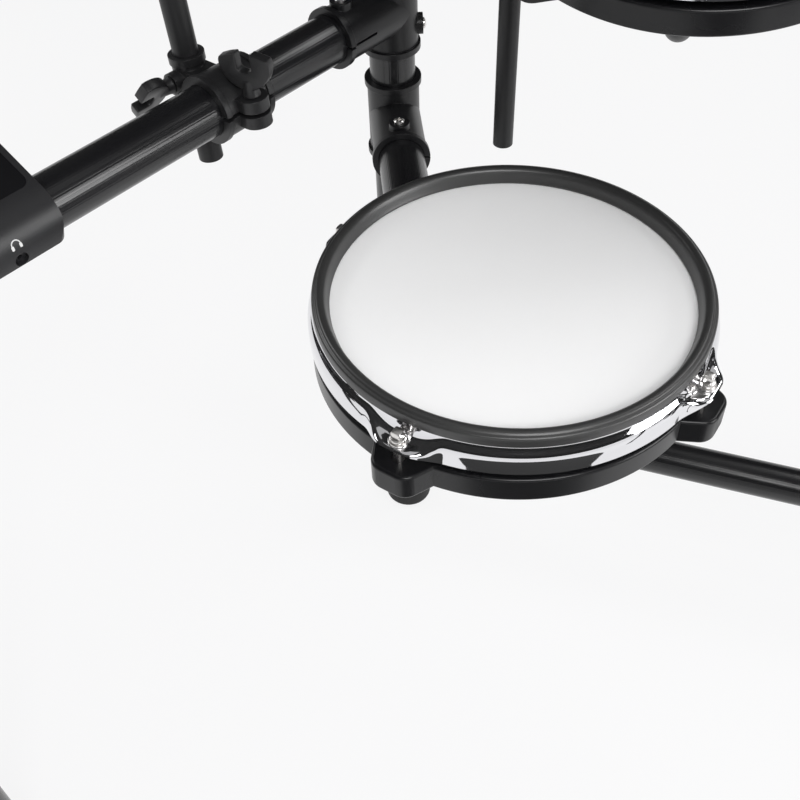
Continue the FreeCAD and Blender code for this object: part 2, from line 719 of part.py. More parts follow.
def module_case():
    """Case with a full rounded nose, a cavity, a sunk seat for the panel and the jack."""
    half = MODULE_WIDTH / 2
    nose_x = MODULE_FRONT + MODULE_NOSE_R
    lean = math.radians(45)
    nose_low_z = MODULE_TOP - MODULE_NOSE_R
    nose_mid_y = nose_x - MODULE_NOSE_R * math.cos(lean)
    nose_mid = Vector(-half, nose_mid_y, nose_low_z + MODULE_NOSE_R * math.sin(lean))
    drop = nose_low_z - MODULE_BOTTOM
    start_y = nose_x - math.sqrt(MODULE_NOSE_R ** 2 - drop ** 2)
    nose_start = Vector(-half, start_y, MODULE_BOTTOM)
    nose_end = Vector(-half, nose_x, MODULE_TOP)
    back_top = Vector(-half, MODULE_BACK, MODULE_TOP)
    back_low = Vector(-half, MODULE_BACK, MODULE_BOTTOM)
    outline = Part.Wire([
        Part.Arc(nose_start, nose_mid, nose_end).toShape(),
        Part.makeLine(nose_end, back_top),
        Part.makeLine(back_top, back_low),
        Part.makeLine(back_low, nose_start)])
    solid = Part.Face(outline).extrude(Vector(MODULE_WIDTH, 0, 0))

    def is_back(edge):
        return edge.BoundBox.XLength > MODULE_WIDTH / 2 and edge.BoundBox.YMin > MODULE_BACK - PLAY

    solid = round_edges(solid, MODULE_BACK_R, is_back)

    plan = rounded_plate(-half, half, MODULE_FRONT, MODULE_BACK, MODULE_BOTTOM, MODULE_TOP, MODULE_END_R)
    solid = solid.common(plan)
    panel_half, front, back = panel_limits()
    seat_z = MODULE_TOP - PANEL_THICK
    seat = rounded_plate(-panel_half, panel_half, front, back, seat_z, MODULE_TOP, PANEL_CORNER)
    cavity = box(Vector(-panel_half + PANEL_LEDGE, front + PANEL_LEDGE, CAVITY_FLOOR),
                 Vector(panel_half - PANEL_LEDGE, back - PANEL_LEDGE, MODULE_TOP))
    solid = solid.cut(seat).cut(cavity)
    post_h = BOARD_TOP - BOARD_THICK - CAVITY_FLOOR
    solid = one(solid, *[cylinder(BOARD_POST_R, post_h, place) for place in board_posts()])
    ring_r = TUBE_R + BRACKET_WALL + PLAY
    width = BRACKET_WIDTH + 2 * PLAY
    solid = solid.cut(cylinder(ring_r, width, Vector(-width / 2, 0, 0), RIGHT))
    jack = Vector(half - JACK_FROM_END, MODULE_FRONT, JACK_Z)
    pocket_floor = jack_mouth().y
    solid = solid.cut(cylinder(JACK_POCKET_R, pocket_floor - MODULE_FRONT, jack, AWAY))
    return solid.cut(cylinder(JACK_R, JACK_DEPTH, jack_mouth(), AWAY))


def jack_mouth():
    """Point on the jack's axis at the floor of its pocket."""
    rise = JACK_Z - (MODULE_TOP - MODULE_NOSE_R)
    surface = MODULE_FRONT + MODULE_NOSE_R - math.sqrt(MODULE_NOSE_R ** 2 - rise ** 2)
    return Vector(MODULE_WIDTH / 2 - JACK_FROM_END, surface + JACK_POCKET, JACK_Z)


def knob_places():
    half = panel_limits()[0]
    knob = Vector(KNOB_FROM_EDGE - half, CONTROL_Y, MODULE_TOP)
    return knob, Vector(half - DIAL_FROM_EDGE, CONTROL_Y, MODULE_TOP)


def button_places():
    return Vector(START_X, CONTROL_Y, MODULE_TOP), Vector(MENU_X, CONTROL_Y, MODULE_TOP)


def screen_block(grow):
    half_x = SCREEN_WIDTH / 2 + grow
    half_y = SCREEN_DEPTH / 2 + grow
    low = Vector(SCREEN_X - half_x, SCREEN_Y - half_y, BOARD_TOP)
    return box(low, Vector(SCREEN_X + half_x, SCREEN_Y + half_y, MODULE_TOP))


def button_block(place, grow):
    half_x = BUTTON_WIDTH / 2 + grow
    half_y = BUTTON_DEPTH / 2 + grow
    low = BOARD_TOP + BUTTON_TRAVEL + PLAY
    return rounded_plate(place.x - half_x, place.x + half_x, place.y - half_y, place.y + half_y,
                         low, MODULE_TOP + BUTTON_RISE, BUTTON_CORNER)


def module_cover():
    half, front, back = panel_limits()
    plate = rounded_plate(-half + SEAT_FIT, half - SEAT_FIT, front + SEAT_FIT, back - SEAT_FIT,
                          MODULE_TOP - PANEL_THICK, MODULE_TOP, PANEL_CORNER - SEAT_FIT)
    plate = plate.cut(screen_block(SEAT_FIT))
    for place in knob_places():
        plate = plate.cut(cylinder(CONTROL_SHAFT_R + RUN_FIT, PANEL_THICK, place, DOWN))
    for place in button_places():
        plate = plate.cut(button_block(place, RUN_FIT + SEAT_FIT))
    return plate


def module_board():
    half, front, back = panel_limits()
    edge = PANEL_LEDGE + PLAY
    low = Vector(-half + edge, front + edge, BOARD_TOP - BOARD_THICK)
    return box(low, Vector(half - edge, back - edge, BOARD_TOP))


def turning_knob(place, radius, height):
    """Knob on a shaft that stands just above the board."""
    low = place.z + PLAY
    knob = cylinder(radius, height, Vector(place.x, place.y, low))
    knob = round_edges(knob, KNOB_EDGE, lambda e: lies_at(e, low + height))
    shaft_low = BOARD_TOP + PLAY
    return one(knob, cylinder(CONTROL_SHAFT_R, low - shaft_low, Vector(place.x, place.y, shaft_low)))


def module_button(place):
    block = button_block(place, 0)
    return round_edges(block, BUTTON_EDGE, lambda e: lies_at(e, MODULE_TOP + BUTTON_RISE))


def module_bracket():
    """Split-free ring that holds the case on the arm."""
    start = Vector(-BRACKET_WIDTH / 2, 0, 0)
    ring = cylinder(TUBE_R + BRACKET_WALL, BRACKET_WIDTH, start, RIGHT)
    return ring.cut(cylinder(TUBE_R + RUN_FIT, BRACKET_WIDTH, start, RIGHT))


# Layout: both sides of the rack share one rule, mirrored across the middle of the span

def rear_post(side):
    return Vector(0 if side < 0 else POST_SPAN, 0, 0)


def along(side, yaw, height, distance):
    """Point on an arm that leaves the rear post of one side."""
    return rear_post(side) + heading(yaw) * distance + UP * height


def side_arm_yaw(side):
    return SIDE_ARM_YAW * side


def pad_arm_yaw(side):
    return -PAD_ARM_YAW * side


def outward(side):
    """Level direction square to a side arm, away from the drummer."""
    return to_right(heading(side_arm_yaw(side))) * -side


def pad_side(side):
    """Level direction square to a pad arm, towards the pad's rod."""
    return to_right(heading(pad_arm_yaw(side))) * side


def snare_centre(side):
    point = along(side, pad_arm_yaw(side), SNARE_RIM_Z, SNARE_CLAMP_AT)
    return point + pad_side(side) * CLAMP_OFFSET


def tom_centre(side):
    x = TOM_X if side < 0 else POST_SPAN - TOM_X
    return Vector(x, TOM_Y, TOM_RIM_Z)


def pad_arm_clamp(side):
    return frame(along(side, pad_arm_yaw(side), PAD_ARM_Z, SNARE_CLAMP_AT), pad_side(side), UP)


def tom_clamp(side):
    return frame(Vector(tom_centre(side).x, 0, UPPER_BAR_Z), DOWN, AWAY)


def cymbal_clamp(side):
    """Clamp on a side arm, leaning its rod away from the drummer."""
    axis = heading(side_arm_yaw(side))
    lean = turned_about(UP, axis, -HIHAT_LEAN * side)
    out = turned_about(outward(side), axis, -HIHAT_LEAN * side)
    return frame(along(side, side_arm_yaw(side), SIDE_ARM_Z, HIHAT_AT), out, lean)


def crash_clamp():
    return frame(Vector(CRASH_X, 0, UPPER_BAR_Z), NEAR, UP)


def rod_axis(clamp):
    """Frame on the rod of a clamp, level with the tube's axis."""
    return clamp.multiply(FreeCAD.Placement(Vector(0, CLAMP_OFFSET, 0), FreeCAD.Rotation()))


def raised(placement, rise):
    return placement.multiply(FreeCAD.Placement(Vector(0, 0, rise), FreeCAD.Rotation()))


def module_frame():
    axis = heading(side_arm_yaw(-1))
    out = outward(-1)
    slope = turned_about(out, axis, -MODULE_TILT)
    normal = turned_about(UP, axis, -MODULE_TILT)
    return frame(along(-1, side_arm_yaw(-1), SIDE_ARM_Z, MODULE_AT), slope, normal)


def tee_frames():
    """Local x is the branch and local z is the sleeve."""
    frames = []
    for side in SIDES:
        post = rear_post(side)
        inward = RIGHT * -side
        branches = ((UPPER_BAR_Z, inward), (LOWER_BAR_Z, inward),
                    (SIDE_ARM_Z, heading(side_arm_yaw(side))), (PAD_ARM_Z, heading(pad_arm_yaw(side))))
        for height, branch in branches:
            frames.append(frame(post + UP * height, UP.cross(branch), UP))
        arm = heading(side_arm_yaw(side))
        corner = along(side, side_arm_yaw(side), SIDE_ARM_Z, FRONT_POST_AT)
        frames.append(frame(corner, arm.cross(DOWN), arm))
    return frames


def front_post_foot(side):
    point = along(side, side_arm_yaw(side), 0, FRONT_POST_AT)
    return Vector(point.x, point.y, 0)


def side_arm_point(side, distance):
    return along(side, side_arm_yaw(side), SIDE_ARM_Z, distance)


def pad_arm_point(side, distance):
    return along(side, pad_arm_yaw(side), PAD_ARM_Z, distance)


def cap_frames():
    """Open tube ends: tops of the rear posts and the far ends of the arms."""
    frames = []
    for side in SIDES:
        frames.append(frame(rear_post(side) + UP * POST_TOP_Z, AWAY, UP))
        frames.append(frame(side_arm_point(side, SIDE_ARM_END), UP, heading(side_arm_yaw(side))))
        frames.append(frame(pad_arm_point(side, PAD_ARM_END), UP, heading(pad_arm_yaw(side))))
    return frames


def rack_nodes():
    nodes = {"rear_posts": [], "front_posts": [], "side_arms": [], "pad_arms": []}
    for side in SIDES:
        post = rear_post(side) + UP * FOOT_FLOOR
        nodes["rear_posts"].append(tube(post, UP, POST_TOP_Z - FOOT_FLOOR))
        front = front_post_foot(side) + UP * FOOT_FLOOR
        nodes["front_posts"].append(tube(front, UP, SIDE_ARM_Z - TUBE_START - FOOT_FLOOR))
        arm = heading(side_arm_yaw(side))
        nodes["side_arms"].append(tube(side_arm_point(side, TUBE_START), arm, SIDE_ARM_END - TUBE_START))
        arm = heading(pad_arm_yaw(side))
        nodes["pad_arms"].append(tube(pad_arm_point(side, TUBE_START), arm, PAD_ARM_END - TUBE_START))
    bar = POST_SPAN - 2 * TUBE_START
    nodes["crossbars"] = [tube(Vector(TUBE_START, 0, z), RIGHT, bar) for z in (UPPER_BAR_Z, LOWER_BAR_Z)]
    nodes["rack_tees"] = [placed(tee(), place) for place in tee_frames()]
    nodes["tee_screws"] = [placed(tee_screw(), place.multiply(seat))
                           for place in tee_frames() for seat in tee_screw_frames()]
    nodes["tube_caps"] = [placed(end_cap(), place) for place in cap_frames()]
    foot_places = [rear_post(s) for s in SIDES] + [front_post_foot(s) for s in SIDES]
    nodes["rubber_feet"] = [placed(foot(), frame(place, AWAY, UP)) for place in foot_places]
    return nodes


def clamp_nodes():
    nodes = {}
    clamps = [(pad_arm_clamp(s), PAD_ROD_R) for s in SIDES]
    clamps += [(tom_clamp(s), PAD_ROD_R) for s in SIDES]
    clamps += [(crash_clamp(), CRASH_ROD_R), (cymbal_clamp(1), HIHAT_ROD_R)]
    hihat_clamp = cymbal_clamp(-1)
    every_clamp = clamps + [(hihat_clamp, HIHAT_ROD_R)]
    nodes["clamp_bodies"] = [placed(clamp_body(rod_r), place) for place, rod_r in every_clamp]
    nodes["clamp_caps"] = [placed(clamp_cap(), place) for place, rod_r in every_clamp]
    bolts = [placed(ear_bolt(), ear_bolt_frame(place)) for place, rod_r in clamps]
    bolts += [placed(rod_bolt(rod_r + PLAY), rod_bolt_frame(place)) for place, rod_r in clamps]
    nodes["clamp_wing_bolts"] = bolts
    nodes["hihat_clamp_wing"] = [placed(ear_bolt(), ear_bolt_frame(hihat_clamp))]
    nodes["hihat_rod_wing"] = [placed(rod_bolt(HIHAT_ROD_R + PLAY), rod_bolt_frame(hihat_clamp))]
    return nodes


def pad_nodes():
    nodes = {}
    for name, place in pads():
        nodes[name + "_shell"] = [placed(pad_shell(), place)]
        nodes[name + "_head"] = [placed(pad_head(), place)]
        nodes[name + "_hoop"] = [placed(pad_hoop(), place)]
        nodes[name + "_rim"] = [placed(pad_rim(), place)]
        nodes[name + "_tension_rods"] = [placed(rod, place) for rod in tension_rods()]
        nodes[name + "_trigger"] = [placed(piece, place) for piece in trigger()]
    nodes["snare_rod"] = [straight_pad_rod(snare_centre(-1), PAD_ARM_Z)]
    nodes["floor_tom_rod"] = [straight_pad_rod(snare_centre(1), PAD_ARM_Z)]
    nodes["left_tom_rod"] = [bent_pad_rod(tom_centre(-1), UPPER_BAR_Z)]
    nodes["right_tom_rod"] = [bent_pad_rod(tom_centre(1), UPPER_BAR_Z)]
    return nodes


def cymbal_nodes():
    nodes = {}
    for name, place, rod_r, tail, rise in cymbals():
        pivot = raised(place, rise)
        nodes[name + "_rod"] = [placed(cymbal_rod(rod_r, tail, rise), pivot)]
        nodes[name + "_cymbal"] = [placed(cymbal(), pivot)]
        nodes[name + "_wing_nut"] = [placed(wing_nut(), pivot)]
    return nodes


def module_nodes():
    nodes = {}
    place = module_frame()
    knob, dial = knob_places()
    start, menu = button_places()
    nodes["module_case"] = [placed(module_case(), place)]
    nodes["module_cover"] = [placed(module_cover(), place)]
    nodes["module_board"] = [placed(module_board(), place)]
    nodes["module_screen"] = [placed(screen_block(0), place)]
    nodes["module_bracket"] = [placed(module_bracket(), place)]
    nodes["volume_knob"] = [placed(turning_knob(knob, KNOB_R, KNOB_H), place)]
    nodes["data_dial"] = [placed(turning_knob(dial, DIAL_R, DIAL_H), place)]
    nodes["start_button"] = [placed(module_button(start), place)]
    nodes["menu_button"] = [placed(module_button(menu), place)]
    return nodes


def pads():
    """Name and frame of each pad, its rim's plane at z = 0 and a lug on its x."""
    level = FreeCAD.Rotation()
    leaning = FreeCAD.Rotation(RIGHT, TOM_TILT)
    return (("snare", FreeCAD.Placement(snare_centre(-1), level).multiply(spun(SNARE_LUG_ANGLE))),
            ("floor_tom", FreeCAD.Placement(snare_centre(1), level).multiply(spun(90 - SNARE_LUG_ANGLE))),
            ("left_tom", FreeCAD.Placement(tom_centre(-1), leaning).multiply(spun(TOM_LUG_ANGLE))),
            ("right_tom", FreeCAD.Placement(tom_centre(1), leaning).multiply(spun(90 - TOM_LUG_ANGLE))))


def cymbals():
    """Name, rod frame at tube height, rod radius, tail below the tube and rise to the pivot."""
    return (("hihat", rod_axis(cymbal_clamp(-1)), HIHAT_ROD_R, HIHAT_TAIL, HIHAT_RISE),
            ("crash", rod_axis(crash_clamp()), CRASH_ROD_R, CRASH_TAIL, CRASH_RISE),
            ("ride", rod_axis(cymbal_clamp(1)), HIHAT_ROD_R, HIHAT_TAIL, RIDE_RISE))


def write(nodes):
    os.makedirs("parts", exist_ok=True)
    for name, solids in nodes.items():
        shape = solids[0] if len(solids) == 1 else Part.makeCompound(solids)
        shape.exportStep("parts/" + name + ".step")
        volume = sum(solid.Volume for solid in solids) / 1000.0
        state = "valid" if shape.isValid() else "NOT VALID"
        print(name, len(solids), "solids", round(volume, 1), "cm3", state)


for group in (rack_nodes(), clamp_nodes(), pad_nodes(), cymbal_nodes(), module_nodes()):
    write(group)
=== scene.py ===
# %% [markdown]
# This lesson dresses an electronic drum kit. Here they get finishes, and the pieces whose
# surface needs more than a plain solid are drawn again over them: fluted tubes, mesh heads,
# rubber rims, pressed hoops, tension rods, wing bolts, screws, cymbals and knobs.

# %% Load the frame
import json
import bpy
import numpy as np
from mathutils import Matrix


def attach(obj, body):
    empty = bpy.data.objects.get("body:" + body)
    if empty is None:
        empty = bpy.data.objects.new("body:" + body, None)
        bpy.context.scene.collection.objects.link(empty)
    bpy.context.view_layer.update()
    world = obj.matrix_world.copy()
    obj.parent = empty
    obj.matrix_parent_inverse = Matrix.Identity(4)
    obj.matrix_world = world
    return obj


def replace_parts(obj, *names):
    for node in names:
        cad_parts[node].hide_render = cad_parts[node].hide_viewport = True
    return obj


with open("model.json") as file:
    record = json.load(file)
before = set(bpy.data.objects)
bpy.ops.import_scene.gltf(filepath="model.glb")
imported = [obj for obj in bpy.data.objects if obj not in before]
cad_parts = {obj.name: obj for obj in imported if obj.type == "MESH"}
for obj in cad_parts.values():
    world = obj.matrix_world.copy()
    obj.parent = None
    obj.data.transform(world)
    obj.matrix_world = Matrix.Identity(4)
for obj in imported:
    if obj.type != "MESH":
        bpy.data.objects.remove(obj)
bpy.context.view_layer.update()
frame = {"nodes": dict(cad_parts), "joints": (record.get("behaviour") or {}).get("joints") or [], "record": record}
record = frame["record"]
joints = {joint["name"]: joint for joint in frame["joints"]}
mounts = {mount["name"]: mount for mount in record["mounts"]}


# %% [markdown]
# Every drawn piece is a grid of points or a profile carried round an axis or along a line.
# Working on whole arrays keeps the script short and quick, and each shape stays a formula that
# can be read.

# %% Grids, meshes and places
def grid_faces(points, wrap_rows=False, wrap_columns=False):
    """Quads between neighbouring points of a (rows, columns, 3) grid; a wrapped side also joins
    its last line to its first."""
    rows, columns = points.shape[:2]
    index = np.arange(rows * columns).reshape(rows, columns)
    if wrap_rows:
        index = np.vstack([index, index[:1]])
    if wrap_columns:
        index = np.hstack([index, index[:, :1]])
    corners = index[:-1, :-1], index[:-1, 1:], index[1:, 1:], index[1:, :-1]
    quads = np.stack([corner.ravel() for corner in corners], axis=1)
    return points.reshape(-1, 3), quads.tolist()


def together(shapes):
    """One list of points and faces from several; each face list moves past the points before it."""
    points, faces, start = [], [], 0
    for shape_points, shape_faces in shapes:
        points.append(shape_points)
        faces += [[corner + start for corner in face] for face in shape_faces]
        start += len(shape_points)
    return np.concatenate(points), faces


def carried(shape, place):
    """The shape's points turned and moved by a 4 by 4 place."""
    points, faces = shape
    return points @ place[:3, :3].T + place[:3, 3], faces


def direction(vector):
    """The vector divided by its length."""
    vector = np.asarray(vector, float)
    return vector / np.linalg.norm(vector)


def framed(x_axis, y_axis, z_axis, origin):
    """A place whose columns are three axes and an origin."""
    place = np.eye(4)
    place[:3] = np.stack([x_axis, y_axis, z_axis, origin], axis=1)
    return place


def place_at(origin, y_axis, z_axis):
    """A place whose own y and z lie along two square directions, with x = y cross z."""
    y, z = direction(y_axis), direction(z_axis)
    return framed(np.cross(y, z), y, z, origin)


def moved(origin):
    """A place that moves without a turn."""
    place = np.eye(4)
    place[:3, 3] = origin
    return place


def spun(degrees):
    """A turn about z."""
    turn = np.radians(degrees)
    place = np.eye(4)
    place[:2, :2] = [[np.cos(turn), -np.sin(turn)], [np.sin(turn), np.cos(turn)]]
    return place


def mesh_object(name, shape):
    """A new object at the origin whose mesh is the shape."""
    points, faces = shape
    mesh = bpy.data.meshes.new(name)
    mesh.from_pydata(np.asarray(points, float).tolist(), [], faces)
    made = bpy.data.objects.new(name, mesh)
    bpy.context.scene.collection.objects.link(made)
    return made


def piece(name, shape, body, sharp=35.0):
    """A mesh object that rides a body; edges bent by more than sharp degrees stay crisp."""
    made = mesh_object(name, shape)
    mesh = made.data
    mesh.shade_smooth()
    mesh.set_sharp_from_angle(angle=np.radians(sharp))
    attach(made, body)
    print(name, len(mesh.vertices), "points", len(mesh.polygons), "faces on", body)
    return made


# %% [markdown]
# Blender's Spin could make them from an edge; here the profile's points are multiplied by the
# cosines and sines of a full turn, which gives the same surface with closed seams and outward
# faces. A smooth line through a few points gives the softer profiles.

# %% Turned profiles
def full_turn(count):
    """Even angles round a circle, without the last one, which would repeat the first."""
    return np.linspace(0, 2 * np.pi, count, endpoint=False)


def about_z(radius, angle, height):
    """Grid points x = r cos a, y = r sin a, z = h, with rows and columns filled out to one size."""
    coordinates = radius * np.cos(angle), radius * np.sin(angle), height
    return np.stack(np.broadcast_arrays(*coordinates), axis=2)


def turned(profile, columns=96):
    """A profile of (radius, height) points carried round z. It runs with the solid on its left, so
    that faces point outwards, and ends on the axis or on itself."""
    profile = np.asarray(profile, float)
    closed = np.allclose(profile[0], profile[-1])
    if closed:
        profile = profile[:-1]
    points = about_z(profile[:, :1], full_turn(columns), profile[:, 1:])
    return grid_faces(points, wrap_rows=closed, wrap_columns=True)


def smooth_line(points, count):
    """A smooth line through points: each coordinate is a cubic between neighbours, whose slope at a
    point is half the step from the point before to the point after."""
    points = np.asarray(points, float)
    padded = np.vstack([2 * points[0] - points[1], points, 2 * points[-1] - points[-2]])
    along = np.linspace(0, len(points) - 1, count)
    span = np.minimum(along.astype(int), len(points) - 2)
    t = (along - span)[:, None]
    p0, p1, p2, p3 = (padded[span + k] for k in range(4))
    return 0.5 * (2 * p1 + (p2 - p0) * t + (2 * p0 - 5 * p1 + 4 * p2 - p3) * t ** 2
                  + (3 * p1 - p0 - 3 * p2 + p3) * t ** 3)


# %% [markdown]
# The layout of the rack is a short list of lengths: post spacing, arm heights and the yaw of
# the arms. The same few numbers placed the solids, so drawn pieces land on them. Places of
# moving pieces come from the joints, which know their own axes.

# %% Layout of the rack
MM = 0.001
TUBE_R, TUBE_WALL = 19 * MM, 2 * MM
POST_SPAN, POST_TOP = 800 * MM, 780 * MM
UPPER_BAR, SIDE_ARM, PAD_ARM, LOWER_BAR = 732 * MM, 640 * MM, 541 * MM, 168 * MM
SIDE_ARM_YAW, PAD_ARM_YAW = 23.75, 23.4
FRONT_POST_AT, SIDE_ARM_END, PAD_ARM_END = 578 * MM, 626 * MM, 384 * MM
TUBE_START, FOOT_FLOOR = 22.1 * MM, 6 * MM
UP = np.array([0.0, 0.0, 1.0])
RIGHT = np.array([1.0, 0.0, 0.0])
NEAR = np.array([0.0, -1.0, 0.0])
SIDES = -1, 1


def heading(yaw):
    """Level direction towards the drummer, turned to the right by yaw degrees."""
    return np.array([np.sin(np.radians(yaw)), -np.cos(np.radians(yaw)), 0.0])


def to_right(level):
    """A level direction turned by a quarter to the right."""
    return np.array([level[1], -level[0], 0.0])


def rear_post(side):
    """Foot of a rear post; the left one is the origin."""
    return np.array([0.0 if side < 0 else POST_SPAN, 0.0, 0.0])


def arm_point(side, yaw, height, distance):
    """Point at a distance along an arm that leaves a rear post at a height."""
    return rear_post(side) + heading(yaw) * distance + UP * height


def turned_about(vector, axis, degrees):
    """A vector turned about a unit axis k: v cos a + (k cross v) sin a + k (k dot v)(1 - cos a)."""
    turn = np.radians(degrees)
    return (vector * np.cos(turn) + np.cross(axis, vector) * np.sin(turn)
            + axis * (axis @ vector) * (1 - np.cos(turn)))


print("left arm ends at", arm_point(-1, -SIDE_ARM_YAW, SIDE_ARM, SIDE_ARM_END).round(3))


# %% [markdown]
# The rack's tubes are pulled aluminium with fine flutes from end to end. Light breaks on each
# flute, which gives the striped shine. A bump map could fake the stripes, but real flutes give
# the right outline and the right highlights close up, and cost only a ring of points at each
# end.

# %% Fluted tubes
FLUTES, POINTS_PER_FLUTE, FLUTE_DEPTH = 72, 8, 0.07 * MM
WORN = np.random.default_rng(7).uniform(0.15, 1.0, FLUTES)
MOSTLY_SIDEWAYS = 0.8


def fluted_tube(start, along, length):
    """Radius r = R - w d (1 - cos(N a)) / 2 round the axis, where w is how deep each flute came out
    of the die; the line is carried along the axis and an inner round wall closes it."""
    angle = full_turn(FLUTES * POINTS_PER_FLUTE)
    depth = np.repeat(WORN, POINTS_PER_FLUTE) * FLUTE_DEPTH
    outer = TUBE_R - depth * (1 - np.cos(FLUTES * angle)) / 2
    inner = np.full(len(angle), TUBE_R - TUBE_WALL)
    height = np.array([0, length, length, 0])[:, None]
    points = about_z(np.stack([outer, outer, inner, inner]), angle, height)
    side = np.cross(along, RIGHT if abs(along[0]) < MOSTLY_SIDEWAYS else NEAR)
    return carried(grid_faces(points, wrap_rows=True, wrap_columns=True),
                   place_at(start, side, along))


def arm_run(side, yaw, height, end):
    """Start, direction and length of an arm's tube."""
    return arm_point(side, yaw, height, TUBE_START), heading(yaw), end - TUBE_START


front_feet = [arm_point(side, SIDE_ARM_YAW * side, 0, FRONT_POST_AT) for side in SIDES]
rear_length, front_length = POST_TOP - FOOT_FLOOR, SIDE_ARM - TUBE_START - FOOT_FLOOR
tube_runs = {
    "rear_posts": [(rear_post(side) + UP * FOOT_FLOOR, UP, rear_length) for side in SIDES],
    "front_posts": [(foot + UP * FOOT_FLOOR, UP, front_length) for foot in front_feet],
    "side_arms": [arm_run(side, SIDE_ARM_YAW * side, SIDE_ARM, SIDE_ARM_END) for side in SIDES],
    "pad_arms": [arm_run(side, -PAD_ARM_YAW * side, PAD_ARM, PAD_ARM_END) for side in SIDES],
    "crossbars": [(RIGHT * TUBE_START + UP * height, RIGHT, POST_SPAN - 2 * TUBE_START)
                  for height in (UPPER_BAR, LOWER_BAR)],
}
tubes = []
for node, runs in tube_runs.items():
    shape = together([fluted_tube(*run) for run in runs])
    tube = piece("fluted_" + node, shape, "rack", sharp=60)
    tubes.append(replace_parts(tube, node))


# %% [markdown]
# Each moulded tee is held by two pan-head screws with a cross recess. The cross could be
# cut by another mesh, but that leaves long thin faces. Here the head is a dome over a polar
# grid, and the cross is made by lowering the points that lie inside two crossed bars.

# %% Screws of the tees
TEE_BACK, TEE_BRANCH, SLEEVE_TURN, SLEEVE_DROP = 26 * MM, 54.5 * MM, 134, 17 * MM
SCREW_R, SCREW_H, SCREW_TIP = 4.4 * MM, 2.6 * MM, 19.1 * MM
EDGE_SHARE, DOME_SHARE = 0.45, 0.55
CROSS_HALF, CROSS_WALL = 0.75 * MM, 0.25 * MM
CROSS_REACH, CROSS_END, CROSS_DEEP = 2.4 * MM, 0.5 * MM, 1.5 * MM


def screw():
    """Dome z = h (0.45 + 0.55 (1 - (r/R)^3)) less a cross: near either bar's middle line points go
    down, and less so towards the bar's walls and ends. The last four rows are edge and shank."""
    share = np.concatenate([np.linspace(0, 0.96, 25), [1.0, 1.0, 0.5, 0.5, 0]])
    radius, angle = share[:, None] * SCREW_R, full_turn(64)
    x, y = radius * np.cos(angle), radius * np.sin(angle)
    rise = EDGE_SHARE + DOME_SHARE * np.clip(1 - (radius / SCREW_R) ** 3, 0, 1)
    from_bar = np.minimum(np.abs(x), np.abs(y))
    reach = np.maximum(np.abs(x), np.abs(y))
    cut = (np.clip((CROSS_HALF - from_bar) / CROSS_WALL, 0, 1)
           * np.clip((CROSS_REACH - reach) / CROSS_END, 0, 1))
    dome = SCREW_H * rise - cut * CROSS_DEEP
    dome[-4:-2] = 0.0
    dome[-2:] = SCREW_TIP - TEE_BACK
    return grid_faces(np.stack([x, y, dome + TEE_BACK], axis=2), wrap_columns=True)


def tee_places():
    """Places of the tees: x along the branch, z along the sleeve."""
    places = []
    for side in SIDES:
        arm, pad_arm = heading(SIDE_ARM_YAW * side), heading(-PAD_ARM_YAW * side)
        branches = ((UPPER_BAR, RIGHT * -side), (LOWER_BAR, RIGHT * -side), (SIDE_ARM, arm),
                    (PAD_ARM, pad_arm))
        for height, branch in branches:
            places.append(place_at(rear_post(side) + UP * height, np.cross(UP, branch), UP))
        corner = arm_point(side, SIDE_ARM_YAW * side, SIDE_ARM, FRONT_POST_AT)
        places.append(place_at(corner, np.cross(arm, -UP), arm))
    return places


screw_seats = [place_at(UP * -SLEEVE_DROP, UP, turned_about(RIGHT, UP, SLEEVE_TURN)),
               place_at(RIGHT * TEE_BRANCH, -NEAR, UP)]
screw_shapes = [carried(screw(), place @ seat) for place in tee_places() for seat in screw_seats]
screws = piece("cross_screws", together(screw_shapes), "rack")
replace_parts(screws, "tee_screws")


# %% [markdown]
# A wing bolt is turned by hand: a thick notched crescent on a short stem. A cube could be
# sculpted into it, but an outline is easier to steer: an arc closed by two slanted horns and a
# notch. It is carried across the wing's thickness and drawn in a little at both faces, so that
# the edges are rounded as on a moulded piece.

# %% Wings
WING_R, WING_THICK, WING_EDGE, WING_STEM = 19.5 * MM, 8 * MM, 0.9 * MM, 5.5 * MM
HORN = np.array([(18.6, 3.6), (12.0, 5.8), (6.4, 6.9)]) * MM
NOTCH_SIDE = np.array([(5.6, 6.2), (5.5, 3.0), (5.5, 0.0)]) * MM
NOTCH_HALF, NOTCH_ROUND, NOTCH_FLOOR = 5.5 * MM, 3.4 * MM, -3.2 * MM
MIRROR = [-1, 1]


def outward_of(outline):
    """Unit normals of a closed flat outline that runs anticlockwise, from the step between each
    point's neighbours turned by a quarter."""
    step = np.roll(outline, -1, axis=0) - np.roll(outline, 1, axis=0)
    normal = np.stack([step[:, 1], -step[:, 0]], axis=1)
    return normal / np.linalg.norm(normal, axis=1, keepdims=True)


def rounded_slab(outline, thick, edge):
    """A closed outline carried across a thickness; near each face it shrinks by e (1 - cos b) while
    it goes out by e sin b, which rounds the edge. Two flat faces close it."""
    bend = np.linspace(0, np.pi / 2, 5)
    inset = edge * np.concatenate([1 - np.sin(bend), 1 - np.cos(bend)])
    across = np.concatenate([-thick / 2 + edge * (1 - np.cos(bend)),
                             thick / 2 - edge * (1 - np.sin(bend))])
    flat = outline[None] - inset[:, None, None] * outward_of(outline)[None]
    coordinates = np.broadcast_arrays(flat[..., 0], across[:, None], flat[..., 1])
    points, faces = grid_faces(np.stack(coordinates, axis=2)[::-1], wrap_columns=True)
    count = len(outline)
    last = len(points) - count
    return points, faces + [list(range(count))[::-1], list(range(last, last + count))]


